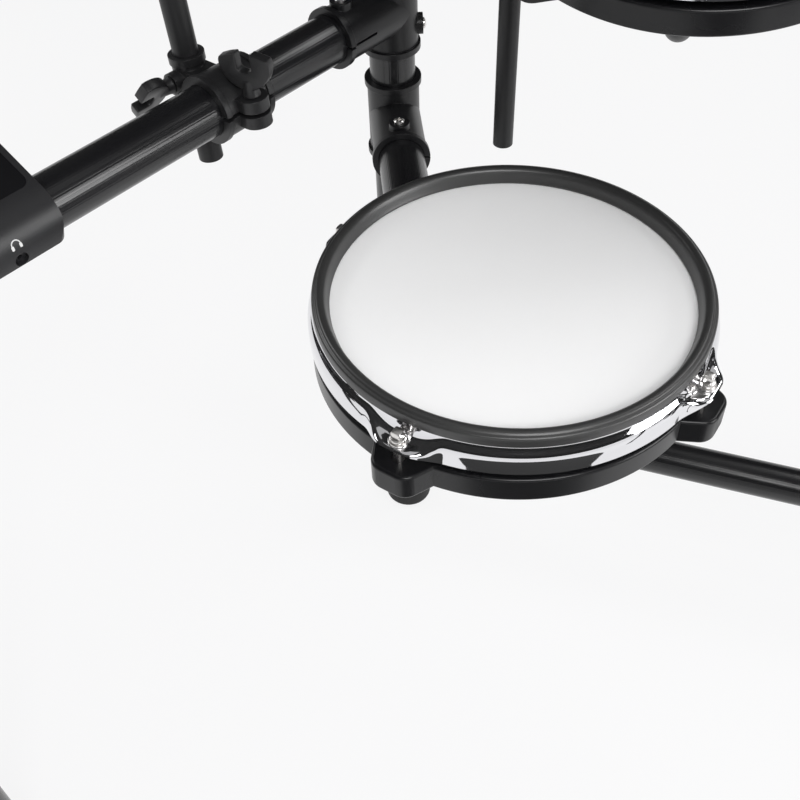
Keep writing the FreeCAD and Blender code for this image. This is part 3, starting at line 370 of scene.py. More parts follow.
def crescent():
    """Lower arc of a circle, a slanted horn on each side, and between them a notch whose floor is
    half an ellipse."""
    arc = np.radians(np.linspace(176, 364, 60))
    outer = np.stack([np.cos(arc), np.sin(arc)], axis=1) * WING_R
    floor = np.radians(np.linspace(0, -180, 13))
    notch_z = NOTCH_ROUND * np.sin(floor) + NOTCH_FLOOR
    notch = np.stack([NOTCH_HALF * np.cos(floor), notch_z], axis=1)
    horn = smooth_line(HORN, 9)
    left_side, left_horn = NOTCH_SIDE[::-1] * MIRROR, horn[::-1] * MIRROR
    return np.concatenate([outer, horn, NOTCH_SIDE, notch, left_side, left_horn])


print("wing outline", len(crescent()), "points")


# %% Wing bolts
BOLT_R, BOLT_EDGE, BOLT_TAIL = 3 * MM, 0.6 * MM, 3 * MM
FLARE = np.array([(0, 14), (4.6, 12), (5.2, 8), (5.6, 4), (6.3, 1.4), (6.5, 0.8), (6.2, 0)]) * MM
CLAMP_GAP, EAR_H, EAR_AT, PLAY = 3 * MM, 9 * MM, 28.5 * MM, 0.4 * MM
BOSS_OUT, BOSS_Z, CLAMP_OFFSET = 19 * MM, 7 * MM, 40 * MM
EAR_WING_TURN, ROD_WING_TURN = 110, 50
HIHAT_AT, LEAN, CRASH_X = 173 * MM, 4.5, 106.5 * MM
SNARE_AT, TOM_X = 353 * MM, 230.5 * MM
ROD_R, CRASH_ROD_R = 9.5 * MM, 8 * MM


def wing_bolt(shank):
    """Crescent wing above a flared stem, with the bolt's shank below; the hub's underside is at
    z = 0."""
    wing, wing_faces = rounded_slab(crescent(), WING_THICK, WING_EDGE)
    wing = wing + UP * (WING_STEM + WING_R)
    bolt = [(BOLT_R, 0), (BOLT_R, BOLT_EDGE - shank), (BOLT_R - BOLT_EDGE, -shank), (0, -shank)]
    stem = turned(np.concatenate([FLARE, bolt])[::-1], 40)
    return together([(wing, wing_faces), stem])


def clamp_places():
    """Clamps: x along the tube, y towards the rod's socket, z along the rod. The hi-hat's clamp
    is given apart, because its wing bolts turn."""
    pad, tom, cymbal = [], [], []
    for side in SIDES:
        arm = heading(-PAD_ARM_YAW * side)
        at = arm_point(side, -PAD_ARM_YAW * side, PAD_ARM, SNARE_AT)
        pad.append(place_at(at, to_right(arm) * side, UP))
        across = TOM_X if side < 0 else POST_SPAN - TOM_X
        tom.append(place_at(RIGHT * across + UP * UPPER_BAR, -UP, -NEAR))
        arm = heading(SIDE_ARM_YAW * side)
        out = turned_about(to_right(arm) * -side, arm, -LEAN * side)
        at = arm_point(side, SIDE_ARM_YAW * side, SIDE_ARM, HIHAT_AT)
        cymbal.append(place_at(at, out, turned_about(UP, arm, -LEAN * side)))
    crash = place_at(RIGHT * CRASH_X + UP * UPPER_BAR, NEAR, UP)
    return pad + tom + [crash, cymbal[1]], cymbal[0]


def rod_bolt(rod_radius):
    """The bolt that reaches through the socket's boss and presses on the rod."""
    return wing_bolt(BOSS_OUT - rod_radius - PLAY)


plain_clamps, hihat_clamp = clamp_places()
ear_seat = place_at((0, -EAR_AT, CLAMP_GAP / 2 + EAR_H + PLAY), NEAR, UP) @ spun(EAR_WING_TURN)
rod_seat = place_at((-BOSS_OUT - PLAY, CLAMP_OFFSET, BOSS_Z), UP, -RIGHT) @ spun(ROD_WING_TURN)
rod_radii = [ROD_R] * 4 + [CRASH_ROD_R, ROD_R]
ear_bolt = wing_bolt(CLAMP_GAP + 2 * EAR_H + PLAY + BOLT_TAIL)
bolt_shapes = [carried(ear_bolt, clamp @ ear_seat) for clamp in plain_clamps]
bolt_shapes += [carried(rod_bolt(radius), clamp @ rod_seat)
                for clamp, radius in zip(plain_clamps, rod_radii)]
rack_wings = piece("wing_bolts", together(bolt_shapes), "rack")
wings = [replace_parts(rack_wings, "clamp_wing_bolts")]
hihat_wings = {"hihat_clamp_wing": carried(ear_bolt, hihat_clamp @ ear_seat),
               "hihat_rod_wing": carried(rod_bolt(ROD_R), hihat_clamp @ rod_seat)}
for node, shape in hihat_wings.items():
    wings.append(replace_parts(piece(node + "_moulded", shape, node), node))


# %% [markdown]
# A pad is a stack: a glossy shell, a white mesh head pulled over it, a pressed chrome hoop that
# pulls the head down with square-headed rods, and a rubber rim pushed over the hoop. All four
# pads are alike, so each piece is drawn once in the pad's own frame and carried to the four
# places. The pad's axis comes from its swivel joint, and the socket in its side tells how it is
# turned.

# %% Places of the pads
PADS = "snare", "floor_tom", "left_tom", "right_tom"
EIGHTH_TURN = 45


def pad_place(name):
    """z along the swivel axis, x towards a lug, which is an eighth of a turn from the socket."""
    swivel = joints[name + "_swivel"]
    z = direction(swivel["axis"])
    x = turned_about(direction(mounts[name + "_jack"]["axis"]), z, -EIGHTH_TURN)
    return place_at(np.array(swivel["pos_m"]), np.cross(z, x), z)


pad_places = {name: pad_place(name) for name in PADS}
print({name: np.round(place[:3, 3], 3).tolist() for name, place in pad_places.items()})

# %% [markdown]
# The rim is soft rubber with a slot below that grips the hoop, and a shoulder and a round crest
# above. A torus would miss the shoulder, so its true section is written as points and turned.

# %% Rubber rims
RIM_PROFILE = np.array([  # radius, height
    (105.0, -6.2), (112.2, -6.2), (112.2, 0.2), (113.9, 0.2), (113.9, -5.2), (114.5, -5.4),
    (115.0, -5.0), (115.1, -2.6), (115.0, 0.1), (114.8, 0.8), (114.3, 1.4), (113.5, 1.7),
    (113.0, 1.8), (112.6, 2.2), (112.0, 2.8), (111.2, 3.0), (110.0, 2.9), (108.8, 2.6),
    (107.9, 2.0), (107.3, 1.2), (106.5, -1.0), (105.7, -3.8), (105.2, -5.0), (105.0, -5.4),
    (105.0, -6.2)]) * MM
rims = []
for name, place in pad_places.items():
    shape = carried(turned(RIM_PROFILE, 240), place)
    rim = piece(name + "_rubber_rim", shape, name + "_pad", sharp=40)
    rims.append(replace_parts(rim, name + "_rim"))

# %% [markdown]
# The hoop is pressed from sheet steel. Between the rods it bends out and then down into a
# skirt; at a rod it stays flat and reaches out as a tongue. Separate tongues would show a seam,
# so two profiles, one for each, are mixed round the hoop by how near the next rod is. That
# gives the saddle shapes that catch the light.

# %% Pressed hoops
HOOP_WALL = 1.2 * MM
TONGUE_FROM, TONGUE_FADE = 12.5, 9.5
QUARTER = np.pi / 2
SKIRT = np.array([  # radius, height
    (113.4, 0.0), (113.5, -2.8), (113.8, -5.2), (114.5, -6.8), (115.5, -8.2), (116.7, -9.6),
    (117.7, -11.4), (118.3, -13.9), (118.5, -18.0), (118.5, -22.5)]) * MM
TONGUE = np.array([  # radius, height
    (113.4, 0.0), (113.5, -2.8), (113.8, -6.2), (114.5, -9.8), (115.8, -12.8), (117.8, -14.6),
    (120.4, -15.0), (123.4, -15.0), (126.0, -15.1), (127.0, -15.9)]) * MM


def hoop():
    """Profile = skirt (1 - w) + tongue w, where w falls smoothly from 1 to 0 with the angle from
    the nearest rod; the inner face is the same line moved inwards by the wall."""
    columns, rows = 480, 40
    angle = full_turn(columns)
    from_rod = np.degrees(np.abs((angle + QUARTER / 2) % QUARTER - QUARTER / 2))
    near = np.clip((TONGUE_FROM - from_rod) / TONGUE_FADE, 0, 1)
    near = (near * near * (3 - 2 * near))[None, :, None]
    skirt, tongue = smooth_line(SKIRT, rows), smooth_line(TONGUE, rows)
    line = skirt[:, None] * (1 - near) + tongue[:, None] * near
    step = np.gradient(line, axis=0)
    normal = np.stack([step[..., 1], -step[..., 0]], axis=2)
    normal /= np.linalg.norm(normal, axis=2, keepdims=True)
    loop = np.concatenate([line, (line + normal * HOOP_WALL)[::-1]])
    points = about_z(loop[..., 0], angle, loop[..., 1])
    return grid_faces(points[::-1], wrap_rows=True, wrap_columns=True)


hoops = []
for name, place in pad_places.items():
    shape = carried(hoop(), place)
    pressed = piece(name + "_pressed_hoop", shape, name + "_pad", sharp=50)
    hoops.append(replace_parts(pressed, name + "_hoop"))

# %% [markdown]
# The tension rods have a square head for a drum key above a collar and a washer. Stacked cubes
# and cylinders would cut into each other. A square with soft corners is a superellipse, so the
# same grid can be round below and square above by changing one power.

# %% Tension rods
LUG_CIRCLE, LUGS = 120 * MM, 4
ROD_ROWS = np.array([  # radius, height, power
    (0, -38.6, 2), (2.4, -38.6, 2), (3.0, -38.0, 2), (3.0, -15.0, 2), (5.0, -15.0, 2),
    (5.3, -14.6, 2), (5.3, -13.8, 2), (5.0, -13.4, 2), (4.2, -13.4, 2), (4.4, -13.1, 2),
    (4.4, -12.2, 2), (4.0, -11.6, 2), (3.2, -11.4, 2), (2.8, -11.3, 8), (2.95, -11.0, 8),
    (2.95, -7.6, 8), (2.5, -6.8, 6), (1.5, -6.6, 4), (0, -6.6, 2)])


def tension_rod():
    """Radius r(a) = R (|cos a|^p + |sin a|^p)^(-1/p), with power p = 2 for round rows and up to 8
    for square ones."""
    angle = full_turn(64)
    radius, height, power = (column[:, None] for column in ROD_ROWS.T)
    squared = (np.abs(np.cos(angle)) ** power + np.abs(np.sin(angle)) ** power) ** (-1 / power)
    points = about_z(radius * squared * MM, angle, height * MM) + RIGHT * LUG_CIRCLE
    return grid_faces(points, wrap_columns=True)


rods = []
for name, place in pad_places.items():
    turns = [spun(360 / LUGS * k) for k in range(LUGS)]
    shape = together([carried(tension_rod(), place @ turn) for turn in turns])
    four = piece(name + "_key_rods", shape, name + "_pad", sharp=40)
    rods.append(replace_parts(four, name + "_tension_rods"))

# %% [markdown]
# The head is a woven sheet stretched flat over the shell, with a stiff ring hidden under the
# hoop. Cloth simulation has nothing to do on a sheet this tight, so it is a polar grid, crowned
# by a fraction of a millimetre where the foam cone carries it. The weave is finer than any
# sensible grid, so it is left to the material.

# %% Mesh heads
HEAD_R, HEAD_TOP, CROWN = 110.9 * MM, -6.6 * MM, 0.3 * MM
HEAD_RING = np.array([  # radius, height
    (110.3, -20.0), (112.2, -20.0), (112.2, -16.2), (111.1, -15.8), (111.1, -7.2), (110.3, -7.2),
    (110.3, -20.0)]) * MM


def head():
    """Height z = top - crown + crown (1 - r/R)^2 over a polar grid."""
    radius = np.linspace(0, HEAD_R, 40)[:, None]
    height = HEAD_TOP + CROWN * (1 - radius / HEAD_R) ** 2 - CROWN
    return grid_faces(about_z(radius, full_turn(192), height), wrap_columns=True)


heads, head_rings = [], []
for name, place in pad_places.items():
    body = name + "_pad"
    mesh_head = piece(name + "_mesh_head", carried(head(), place), body)
    ring_shape = carried(turned(HEAD_RING, 160), place)
    collar = piece(name + "_head_ring", ring_shape, body)
    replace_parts(mesh_head, name + "_head")
    name + "_shell"
    heads.append(mesh_head)
    head_rings.append(collar)


# %% [markdown]
# A cymbal pad is a shallow dish of rubber over a stiff plate, with turned grooves that stop a
# stick from slipping. A bump could draw the grooves, but they show at the edge of the light, so
# they are in the profile: the hub and bell are plain, and the bow gets a small wave. A felt
# collar sits on the rod below the dish.

# %% Cymbals
CYMBALS = "hihat", "crash", "ride"
CYMBAL_R, BELL_R, BELL_TOP = 127 * MM, 26 * MM, 4 * MM
BOW_FROM, BOW_TO, BOW_DROP, BOW_RISE = 27 * MM, 125.6 * MM, 26 * MM, 16 * MM
GROOVE, GROOVE_PITCH, GROOVE_FROM, GROOVE_TO = 0.28 * MM, 3.1 * MM, 34 * MM, 117 * MM
DISH_WALL, DISH_TAPER, LOW_STEP = 5 * MM, 1 * MM, 14
HUB_R, HUB_HOLLOW_R, HUB_TUCK = 14 * MM, 10 * MM, 0.22
DISH_RIM = np.array([(126.6, -22.3), (127.0, -23.6), (127.0, -25.0), (126.2, -26.0)]) * MM
FELT = np.array([  # radius, height
    (9.1, -6.2), (12.6, -6.2), (13.5, -5.6), (13.9, -3.6), (13.5, -1.6), (12.4, -0.8), (9.1, -0.8),
    (9.1, -6.2)]) * MM


def dish():
    """Bow z = top - drop s + rise s (1 - s), with s from 0 at the bell to 1 at the edge, less a
    groove wave g (1 - cos(2 pi r / pitch)); the underside is the bow moved down by the wall."""
    bow = np.linspace(BOW_FROM, BOW_TO, 420)
    s = (bow - BELL_R) / (CYMBAL_R - BELL_R)
    fall = BELL_TOP - BOW_DROP * s + BOW_RISE * s * (1 - s)
    grooved = (bow > GROOVE_FROM) & (bow < GROOVE_TO)
    wave = GROOVE * (np.cos(2 * np.pi * bow / GROOVE_PITCH) - 1) * grooved
    top = np.stack([bow, fall + wave], axis=1)
    low = np.stack([bow, fall - DISH_WALL + s * DISH_TAPER], axis=1)[::-LOW_STEP]
    hub = np.radians(np.linspace(62.3, 43, 7))
    tucked = hub[::-1] - HUB_TUCK
    hub_top = np.stack([np.cos(hub), np.sin(hub)], axis=1) * HUB_R
    hub_low = np.stack([np.cos(tucked), np.sin(tucked)], axis=1) * HUB_HOLLOW_R
    profile = np.concatenate([hub_top, top, DISH_RIM, low[1:], hub_low, hub_top[:1]])
    return turned(profile[::-1], 160)


def cymbal_place(name):
    """z along the rod and x along the rocking axis, with the pivot as origin."""
    rock, slide = joints[name + "_rock"], joints[name + "_height"]
    z, x = direction(slide["axis"]), direction(rock["axis"])
    return place_at(np.array(rock["pos_m"]), np.cross(z, x), z)


cymbals, felts = [], []
for name in CYMBALS:
    place = cymbal_place(name)
    felt_shape = carried(turned(FELT, 64), place)
    felts.append(piece(name + "_felt", felt_shape, name + "_stand"))
    dish_shape = carried(dish(), place)
    grooved = piece(name + "_grooved_dish", dish_shape, name + "_cymbal", sharp=50)
    cymbals.append(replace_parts(grooved, name + "_cymbal"))


# %% [markdown]
# The module's knobs are moulded with finger flutes. They could be cut from a cylinder; here
# each is a turned profile whose radius is pressed in by a wave round the axis, strongest on the
# grip and gone at the top edge, so that the flutes run out softly.

# %% Module controls
FINGER_DEPTH, POINTS_PER_FINGER = 0.05, 8
KNOB_Y, PANEL_Z = 22, 45.8
KNOBS = (  # node, x, radius, height, flutes
    ("volume_knob", -50, 10, 13, 18), ("data_dial", 42, 15, 11, 30))
KNOB_ROWS = np.array([  # share of the radius, share of the height, share of the wave
    (0, 0, 0), (0.93, 0, 0), (1.0, 0.05, 0.4), (0.98, 0.12, 1), (0.92, 0.86, 1), (0.88, 0.95, 0.5),
    (0.8, 1.0, 0), (0.7, 0.985, 0), (0.66, 0.95, 0), (0, 0.95, 0)])
SHAFT = turned(np.array([(0, -6), (3, -6), (3, 0), (0, 0)]) * MM, 32)
tilt = joints["module_tilt"]
panel_normal = -direction(joints["start_button_press"]["axis"])
module_x = -direction(tilt["axis"])
module_place = place_at(np.array(tilt["pos_m"]), np.cross(panel_normal, module_x), panel_normal)


def fluted_knob(radius, height, flutes):
    """Radius r = R (1 - d f (1 - cos(N a))/2), with f going from 1 on the grip to 0 at the top."""
    angle = full_turn(flutes * POINTS_PER_FINGER)
    share, rise, press = (column[:, None] for column in KNOB_ROWS.T)
    wave = 1 - FINGER_DEPTH * press * (1 - np.cos(flutes * angle)) / 2
    return grid_faces(about_z(radius * share * wave, angle, rise * height), wrap_columns=True)


controls = []
for node, x, radius, height, flutes in KNOBS:
    knob = together([fluted_knob(radius * MM, height * MM, flutes), SHAFT])
    shape = carried(knob, module_place @ moved(np.array([x, KNOB_Y, PANEL_Z]) * MM))
    made = piece(node + "_fluted", shape, node, sharp=45)
    controls.append(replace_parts(made, node))

# %% [markdown]
# A plain sign of headphones is printed above the socket on the module's rounded nose. Ink has
# almost no height, but a picture in the material would need its own map, so the sign is drawn
# flat as three thin slabs, a band and two cups, and then wrapped round the nose.

# %% Printed sign
NOSE_R, NOSE_Y, NOSE_Z = 26.5 * MM, -14.5 * MM, 18.9 * MM
SIGN_X, SIGN_RISE, SIGN_THICK = 41 * MM, 38.0, 0.16 * MM
BAND_R, BAND_WIDE, CUP_WIDE, CUP_TALL = 3.2 * MM, 0.7 * MM, 0.9 * MM, 1.5 * MM


def headphone_outlines():
    """Half ring between two arcs, and two cups with x = a cos t |cos t|^-1/2 and
    y = b sin t |sin t|^-1/2."""
    arc = np.linspace(0, np.pi, 25)
    half = np.stack([np.cos(arc), np.sin(arc)], axis=1)
    band = np.concatenate([half * BAND_R, half[::-1] * (BAND_R - BAND_WIDE)])
    turn = full_turn(24)
    wave = np.stack([np.cos(turn), np.sin(turn)], axis=1)
    cup = np.sign(wave) * np.sqrt(np.abs(wave)) * [CUP_WIDE, CUP_TALL]
    return [band] + [cup + [side * (BAND_R - CUP_WIDE / 2), -CUP_TALL] for side in SIDES]


def wrapped(shape):
    """x stays along the nose, z becomes the angle a = a0 + z / R round it, and the thickness points
    out of it."""
    points, faces = shape
    angle = np.radians(SIGN_RISE) + points[:, 2] / NOSE_R
    out = NOSE_R - points[:, 1]
    round_nose = NOSE_Y - out * np.cos(angle), NOSE_Z + out * np.sin(angle)
    return np.stack([SIGN_X + points[:, 0], *round_nose], axis=1), faces


slabs = [rounded_slab(outline, SIGN_THICK, SIGN_THICK / 4) for outline in headphone_outlines()]
sign_shape = carried(together([wrapped(slab) for slab in slabs]), module_place)
sign = piece("module_headphone_sign", sign_shape, "module")


# %% [markdown]
# Finishes are node networks. They could be wired by hand, node by node. A small class that
# wraps an output socket is easier to read: shader maths looks like ordinary sums, and one
# method adds any other node with its settings and inputs.

# %% A class for shader maths
class Flow:
    """One output socket of a node; + and * on it add Math nodes to the same tree."""

    def __init__(self, tree, socket=None):
        self.tree, self.socket = tree, socket

    def node(self, kind, settings=None, inputs=None, output=0):
        """A new node with its settings, and with values or links on its inputs."""
        made = self.tree.nodes.new("ShaderNode" + kind)
        for key, value in (settings or {}).items():
            setattr(made, key, value)
        for key, value in (inputs or {}).items():
            if isinstance(value, Flow):
                self.tree.links.new(value.socket, made.inputs[key])
            else:
                made.inputs[key].default_value = value
        return Flow(self.tree, made.outputs[output])

    def also(self, output):
        """Another output of the same node."""
        return Flow(self.tree, self.socket.node.outputs[output])

    def math(self, operation, first, second=0.0):
        """A Math node on one or two values or flows."""
        return self.node("Math", {"operation": operation}, {0: first, 1: second})

    def __add__(self, other):
        return self.math("ADD", self, other)

    def __mul__(self, other):
        return self.math("MULTIPLY", self, other)

    __radd__, __rmul__ = __add__, __mul__


# %% Parts of a finish
COAT_ROUGHNESS, BEVEL_SAMPLES = 0.1, 4
MIX_SHARE, MIX_FIRST, MIX_SECOND, MIX_COLOUR = 0, 6, 7, 2


def finish(name, base, roughness, metallic=0.0, coat=0.0):
    """A new material with one Principled shader; returns the material, its shader node and a Flow
    on its tree."""
    material = bpy.data.materials.new(name)
    material.use_nodes = True
    tree = material.node_tree
    tree.nodes.clear()
    shader = tree.nodes.new("ShaderNodeBsdfPrincipled")
    output = tree.nodes.new("ShaderNodeOutputMaterial")
    tree.links.new(shader.outputs[0], output.inputs[0])
    shader.inputs["Base Color"].default_value = (*base, 1)
    shader.inputs["Roughness"].default_value = roughness
    shader.inputs["Metallic"].default_value = metallic
    shader.inputs["Coat Weight"].default_value = coat
    shader.inputs["Coat Roughness"].default_value = COAT_ROUGHNESS
    return material, shader, Flow(tree)


def feed(shader, flow, socket):
    """Link a flow to a shader's input."""
    flow.tree.links.new(flow.socket, shader.inputs[socket])


def noise(flow, where, scale, detail=3.0):
    """Noise between 0 and 1, with scale as waves per metre."""
    return flow.node("TexNoise", inputs={"Vector": where, "Scale": scale, "Detail": detail})


def mixed(flow, share, first, second):
    """Colour between two colours by a share."""
    inputs = {MIX_SHARE: share, MIX_FIRST: (*first, 1), MIX_SECOND: (*second, 1)}
    return flow.node("Mix", {"data_type": "RGBA"}, inputs, output=MIX_COLOUR)


def bumped(flow, shader, height, strength, distance, edge=0.0):
    """A bump from a height; where edge is given, sharp edges are first shaded as if rounded by
    that radius."""
    inputs = {"Height": height, "Strength": strength, "Distance": distance}
    if edge:
        inputs["Normal"] = flow.node("Bevel", {"samples": BEVEL_SAMPLES}, {"Radius": edge})
    feed(shader, flow.node("Bump", inputs=inputs), "Normal")


# %% [markdown]
# They differ in roughness and grain more than in colour. One plain black would make them all
# alike, so each one has a little noise in its colour and roughness and its own grain. The edges
# of the moulded joints and clamps are shaded round.

# %% Black finishes
DRIFT_SCALE, GRAIN_HEIGHT, MOULD_EDGE = 18.0, 0.0004, 0.9 * MM


def grained_black(name, dark, light, roughness, spread, grain, strength, sheen=0.4, edge=0.0,
                  coat=0.0):
    """Colour and roughness drift with a broad noise, a fine noise gives the grain, and sheen is the
    specular level."""
    material, shader, flow = finish(name, dark, roughness, 0.0, coat)
    shader.inputs["Specular IOR Level"].default_value = sheen
    where = flow.node("TexCoord", output="Object")
    broad = noise(flow, where, DRIFT_SCALE)
    fine = noise(flow, where, grain, 2.0)
    feed(shader, mixed(flow, broad, dark, light), "Base Color")
    feed(shader, broad * (2 * spread) + (roughness - spread), "Roughness")
    bumped(flow, shader, fine, strength, GRAIN_HEIGHT, edge)
    return material


BLACKS = {  # slot: name, dark, light, roughness, its spread, grain, its strength, sheen, edge
    "joint_plastic": ("satin joint plastic", (0.006, 0.006, 0.007), (0.01, 0.01, 0.011),
                      0.36, 0.05, 1400.0, 0.1, 0.4, MOULD_EDGE),
    "clamp_plastic": ("satin clamp plastic", (0.011, 0.011, 0.012), (0.017, 0.017, 0.018),
                      0.4, 0.05, 1200.0, 0.1, 0.5, MOULD_EDGE),
    "black_tube": ("black anodised tube", (0.006, 0.006, 0.007), (0.01, 0.01, 0.011),
                   0.24, 0.02, 900.0, 0.0, 0.6),
    "black_rod": ("satin painted rod", (0.01, 0.01, 0.011), (0.017, 0.017, 0.018),
                  0.42, 0.05, 700.0, 0.08),
    "rim_rubber": ("rim rubber", (0.018, 0.018, 0.018), (0.028, 0.028, 0.028),
                   0.38, 0.05, 600.0, 0.12, 0.9),
    "foot_rubber": ("foot rubber", (0.009, 0.009, 0.009), (0.016, 0.016, 0.016),
                    0.55, 0.05, 500.0, 0.2),
    "cymbal_rubber": ("cymbal rubber", (0.013, 0.013, 0.014), (0.021, 0.021, 0.022),
                      0.54, 0.06, 800.0, 0.2),
    "shell_plastic": ("glossy shell plastic", (0.005, 0.005, 0.006), (0.008, 0.008, 0.009),
                      0.28, 0.03, 300.0, 0.01, 0.36),
    "module_plastic": ("satin module plastic", (0.012, 0.012, 0.013), (0.017, 0.017, 0.019),
                       0.36, 0.04, 1600.0, 0.1),
    "module_panel": ("dark panel", (0.004, 0.004, 0.005), (0.006, 0.006, 0.007),
                     0.3, 0.03, 300.0, 0.01, 0.15),
    "control_plastic": ("control plastic", (0.012, 0.012, 0.013), (0.02, 0.02, 0.022),
                        0.44, 0.05, 1500.0, 0.12),
}
looks = {slot: grained_black(*row) for slot, row in BLACKS.items()}
print("black finishes", list(looks))


# %% [markdown]
# The bright metals are plain: polished chrome for the hoops, nickel for rods and screws. Real
# plating is never quite even, and a perfect mirror looks drawn, so roughness drifts a little.

# %% Bright metals
PLATE_CLOUD, PLATE_DETAIL, PLATE_DULL = 60.0, 4.0, 0.94


def plated(name, colour, roughness, spread):
    """Roughness and colour drift with one cloudy noise."""
    material, shader, flow = finish(name, colour, roughness, 1.0)
    where = flow.node("TexCoord", output="Object")
    cloud = noise(flow, where, PLATE_CLOUD, PLATE_DETAIL)
    feed(shader, cloud * spread + (roughness - spread / 2), "Roughness")
    feed(shader, mixed(flow, cloud, colour, tuple(PLATE_DULL * c for c in colour)), "Base Color")
    return material


looks["chrome_hoop"] = plated("polished chrome", (0.82, 0.82, 0.84), 0.045, 0.03)
looks["nickel_rod"] = plated("nickel plate", (0.82, 0.8, 0.78), 0.28, 0.1)
looks["bright_screw"] = looks["nickel_rod"]
print("bright metals", looks["chrome_hoop"].name, looks["nickel_rod"].name)

# %% [markdown]
# The head is woven from white thread at a pitch of about half a millimetre. An image of cloth
# would blur close up. Two waves at right angles, turned a little to the pad, make the threads.
# The height goes into a bump, and the gaps between threads get painted shade: their colour is slightly darker.

# %% Woven mesh
THREADS_PER_METRE, WEAVE_TURN = 1700.0, 33
CLOTH_SHEEN, CLOTH_ROUGHNESS, CLOTH_CLOUD = 0.25, 0.62, 9.0
THREAD_BUMP, THREAD_HEIGHT = 0.35, 0.0003
THREAD_SHARE, CLOUD_SHARE = 0.8, 0.2
# The gap colour is painted shade between the threads; the thread colour is the cloth's own white.
CLOTH, GAP_PAINTED_SHADE, THREAD_SHADE = (0.88, 0.88, 0.88), (0.79, 0.79, 0.8), (0.9, 0.9, 0.9)


def woven(name):
    """Height = the larger of |sin(k u)| and |sin(k v)|, where k is pi times the threads per
    metre."""
    material, shader, flow = finish(name, CLOTH, CLOTH_ROUGHNESS)
    shader.inputs["Specular IOR Level"].default_value = CLOTH_SHEEN
    where = flow.node("TexCoord", output="Object")
    rotation = (0, 0, np.radians(WEAVE_TURN))
    turned_where = flow.node("Mapping", inputs={0: where, "Rotation": rotation})
    split = flow.node("SeparateXYZ", inputs={0: turned_where})
    turn = np.pi * THREADS_PER_METRE
    warp, weft = (flow.math("ABSOLUTE", flow.math("SINE", way * turn))
                  for way in (split, split.also(1)))
    thread = flow.math("MAXIMUM", warp, weft)
    # Painted shade: the gaps between threads are coloured darker, mixed with a cloudy random tone of the cloth.
    shade = thread * THREAD_SHARE + noise(flow, where, CLOTH_CLOUD) * CLOUD_SHARE
    feed(shader, mixed(flow, shade, GAP_PAINTED_SHADE, THREAD_SHADE), "Base Color")
    bumped(flow, shader, thread, THREAD_BUMP, THREAD_HEIGHT)
    return material


looks["white_mesh"] = woven("woven white mesh")
print("thread pitch", round(1 / THREADS_PER_METRE / MM, 2), "mm")

# %% [markdown]
# A few small things are left: board, felt, foam, print and screen. They are drifting, grained
# surfaces too, so the maker of the black finishes serves them with other colours.

# %% Small finishes
looks["circuit_board"] = grained_black(
    "circuit board", (0.01, 0.09, 0.04), (0.015, 0.13, 0.05), 0.3, 0.05, 400.0, 0.1)
black_felt = grained_black(
    "black felt", (0.02, 0.02, 0.02), (0.04, 0.04, 0.04), 0.95, 0.04, 700.0, 0.9)
looks["trigger_foam"] = grained_black(
    "trigger foam", (0.12, 0.12, 0.12), (0.18, 0.18, 0.18), 0.9, 0.05, 900.0, 0.8)
white_print = grained_black(
    "white print", (0.6, 0.6, 0.6), (0.68, 0.68, 0.68), 0.5, 0.05, 900.0, 0.05)
looks["screen_glass"] = grained_black(
    "dark screen", (0.01, 0.02, 0.025), (0.015, 0.03, 0.035), 0.08, 0.02, 100.0, 0.0, 0.5, coat=0.6)


# %% [markdown]
# The drawn pieces get the finish of what they stand for; the felts and the print have their
# own.

# %% Give every piece its finish
def paint(objects, material):
    """Make a material the only one of each object."""
    for made in objects:
        made.data.materials.clear()
        made.data.materials.append(material)


paint(tubes, looks["black_tube"])
paint([screws], looks["bright_screw"])
paint(wings, looks["clamp_plastic"])
paint(rims, looks["rim_rubber"])
paint(hoops, looks["chrome_hoop"])
paint(rods, looks["nickel_rod"])
paint(heads + head_rings, looks["white_mesh"])
paint(cymbals, looks["cymbal_rubber"])
paint(felts, black_felt)
paint([sign], white_print)
paint(controls, looks["control_plastic"])
for row in record["subparts"]:
    paint([frame["nodes"][row["node"]]], looks[row["material_slot"]])
print("finishes", len(bpy.data.materials))


# %% Floor and sky
FLOOR_HALF, FLOOR_GLOW, SKY_LIGHT = 60.0, 0.85, 0.5
SHOWN = "Is Camera Ray", "Is Glossy Ray", "Is Transmission Ray"


def shown_rays(flow):
    """1 for rays from the camera, from a mirror or through glass, and 0 for rays that carry
    light."""
    path = flow.node("LightPath")
    camera_ray, glossy_ray, glass_ray = (path.also(key) for key in SHOWN)
    return flow.math("MINIMUM", camera_ray + glossy_ray + glass_ray, 1.0)


reach = -FLOOR_HALF, FLOOR_HALF
floor = mesh_object("floor", grid_faces(np.array([[(x, y, 0.0) for x in reach] for y in reach])))
floor_white, floor_shader, floor_flow = finish("pale floor", (0.9, 0.9, 0.9), 0.9)
floor_glow = floor_flow.node("Emission", inputs={"Color": (0.96, 0.96, 0.965, 1)})
floor_mix = floor_flow.node("MixShader", inputs={
    0: shown_rays(floor_flow) * FLOOR_GLOW,
    1: Flow(floor_flow.tree, floor_shader.outputs[0]),
    2: floor_glow})
feed(floor_white.node_tree.nodes["Material Output"], floor_mix, 0)
paint([floor], floor_white)

world = bpy.data.worlds.new("white studio")
bpy.context.scene.world = world
world.use_nodes = True
world.node_tree.nodes.clear()
sky = Flow(world.node_tree)
sky_strength = shown_rays(sky) * (1 - SKY_LIGHT) + SKY_LIGHT
sky_glow = sky.node("Background", inputs={"Color": (1, 1, 1, 1), "Strength": sky_strength})
feed(world.node_tree.nodes.new("ShaderNodeOutputWorld"), sky_glow, 0)
print("floor", 2 * FLOOR_HALF, "m wide, sky light", SKY_LIGHT)

# %% [markdown]
# Soft boxes give the long highlights on tubes and chrome. Point lamps would give small hard
# spots instead. The key stands in front and high, and the others are weak.

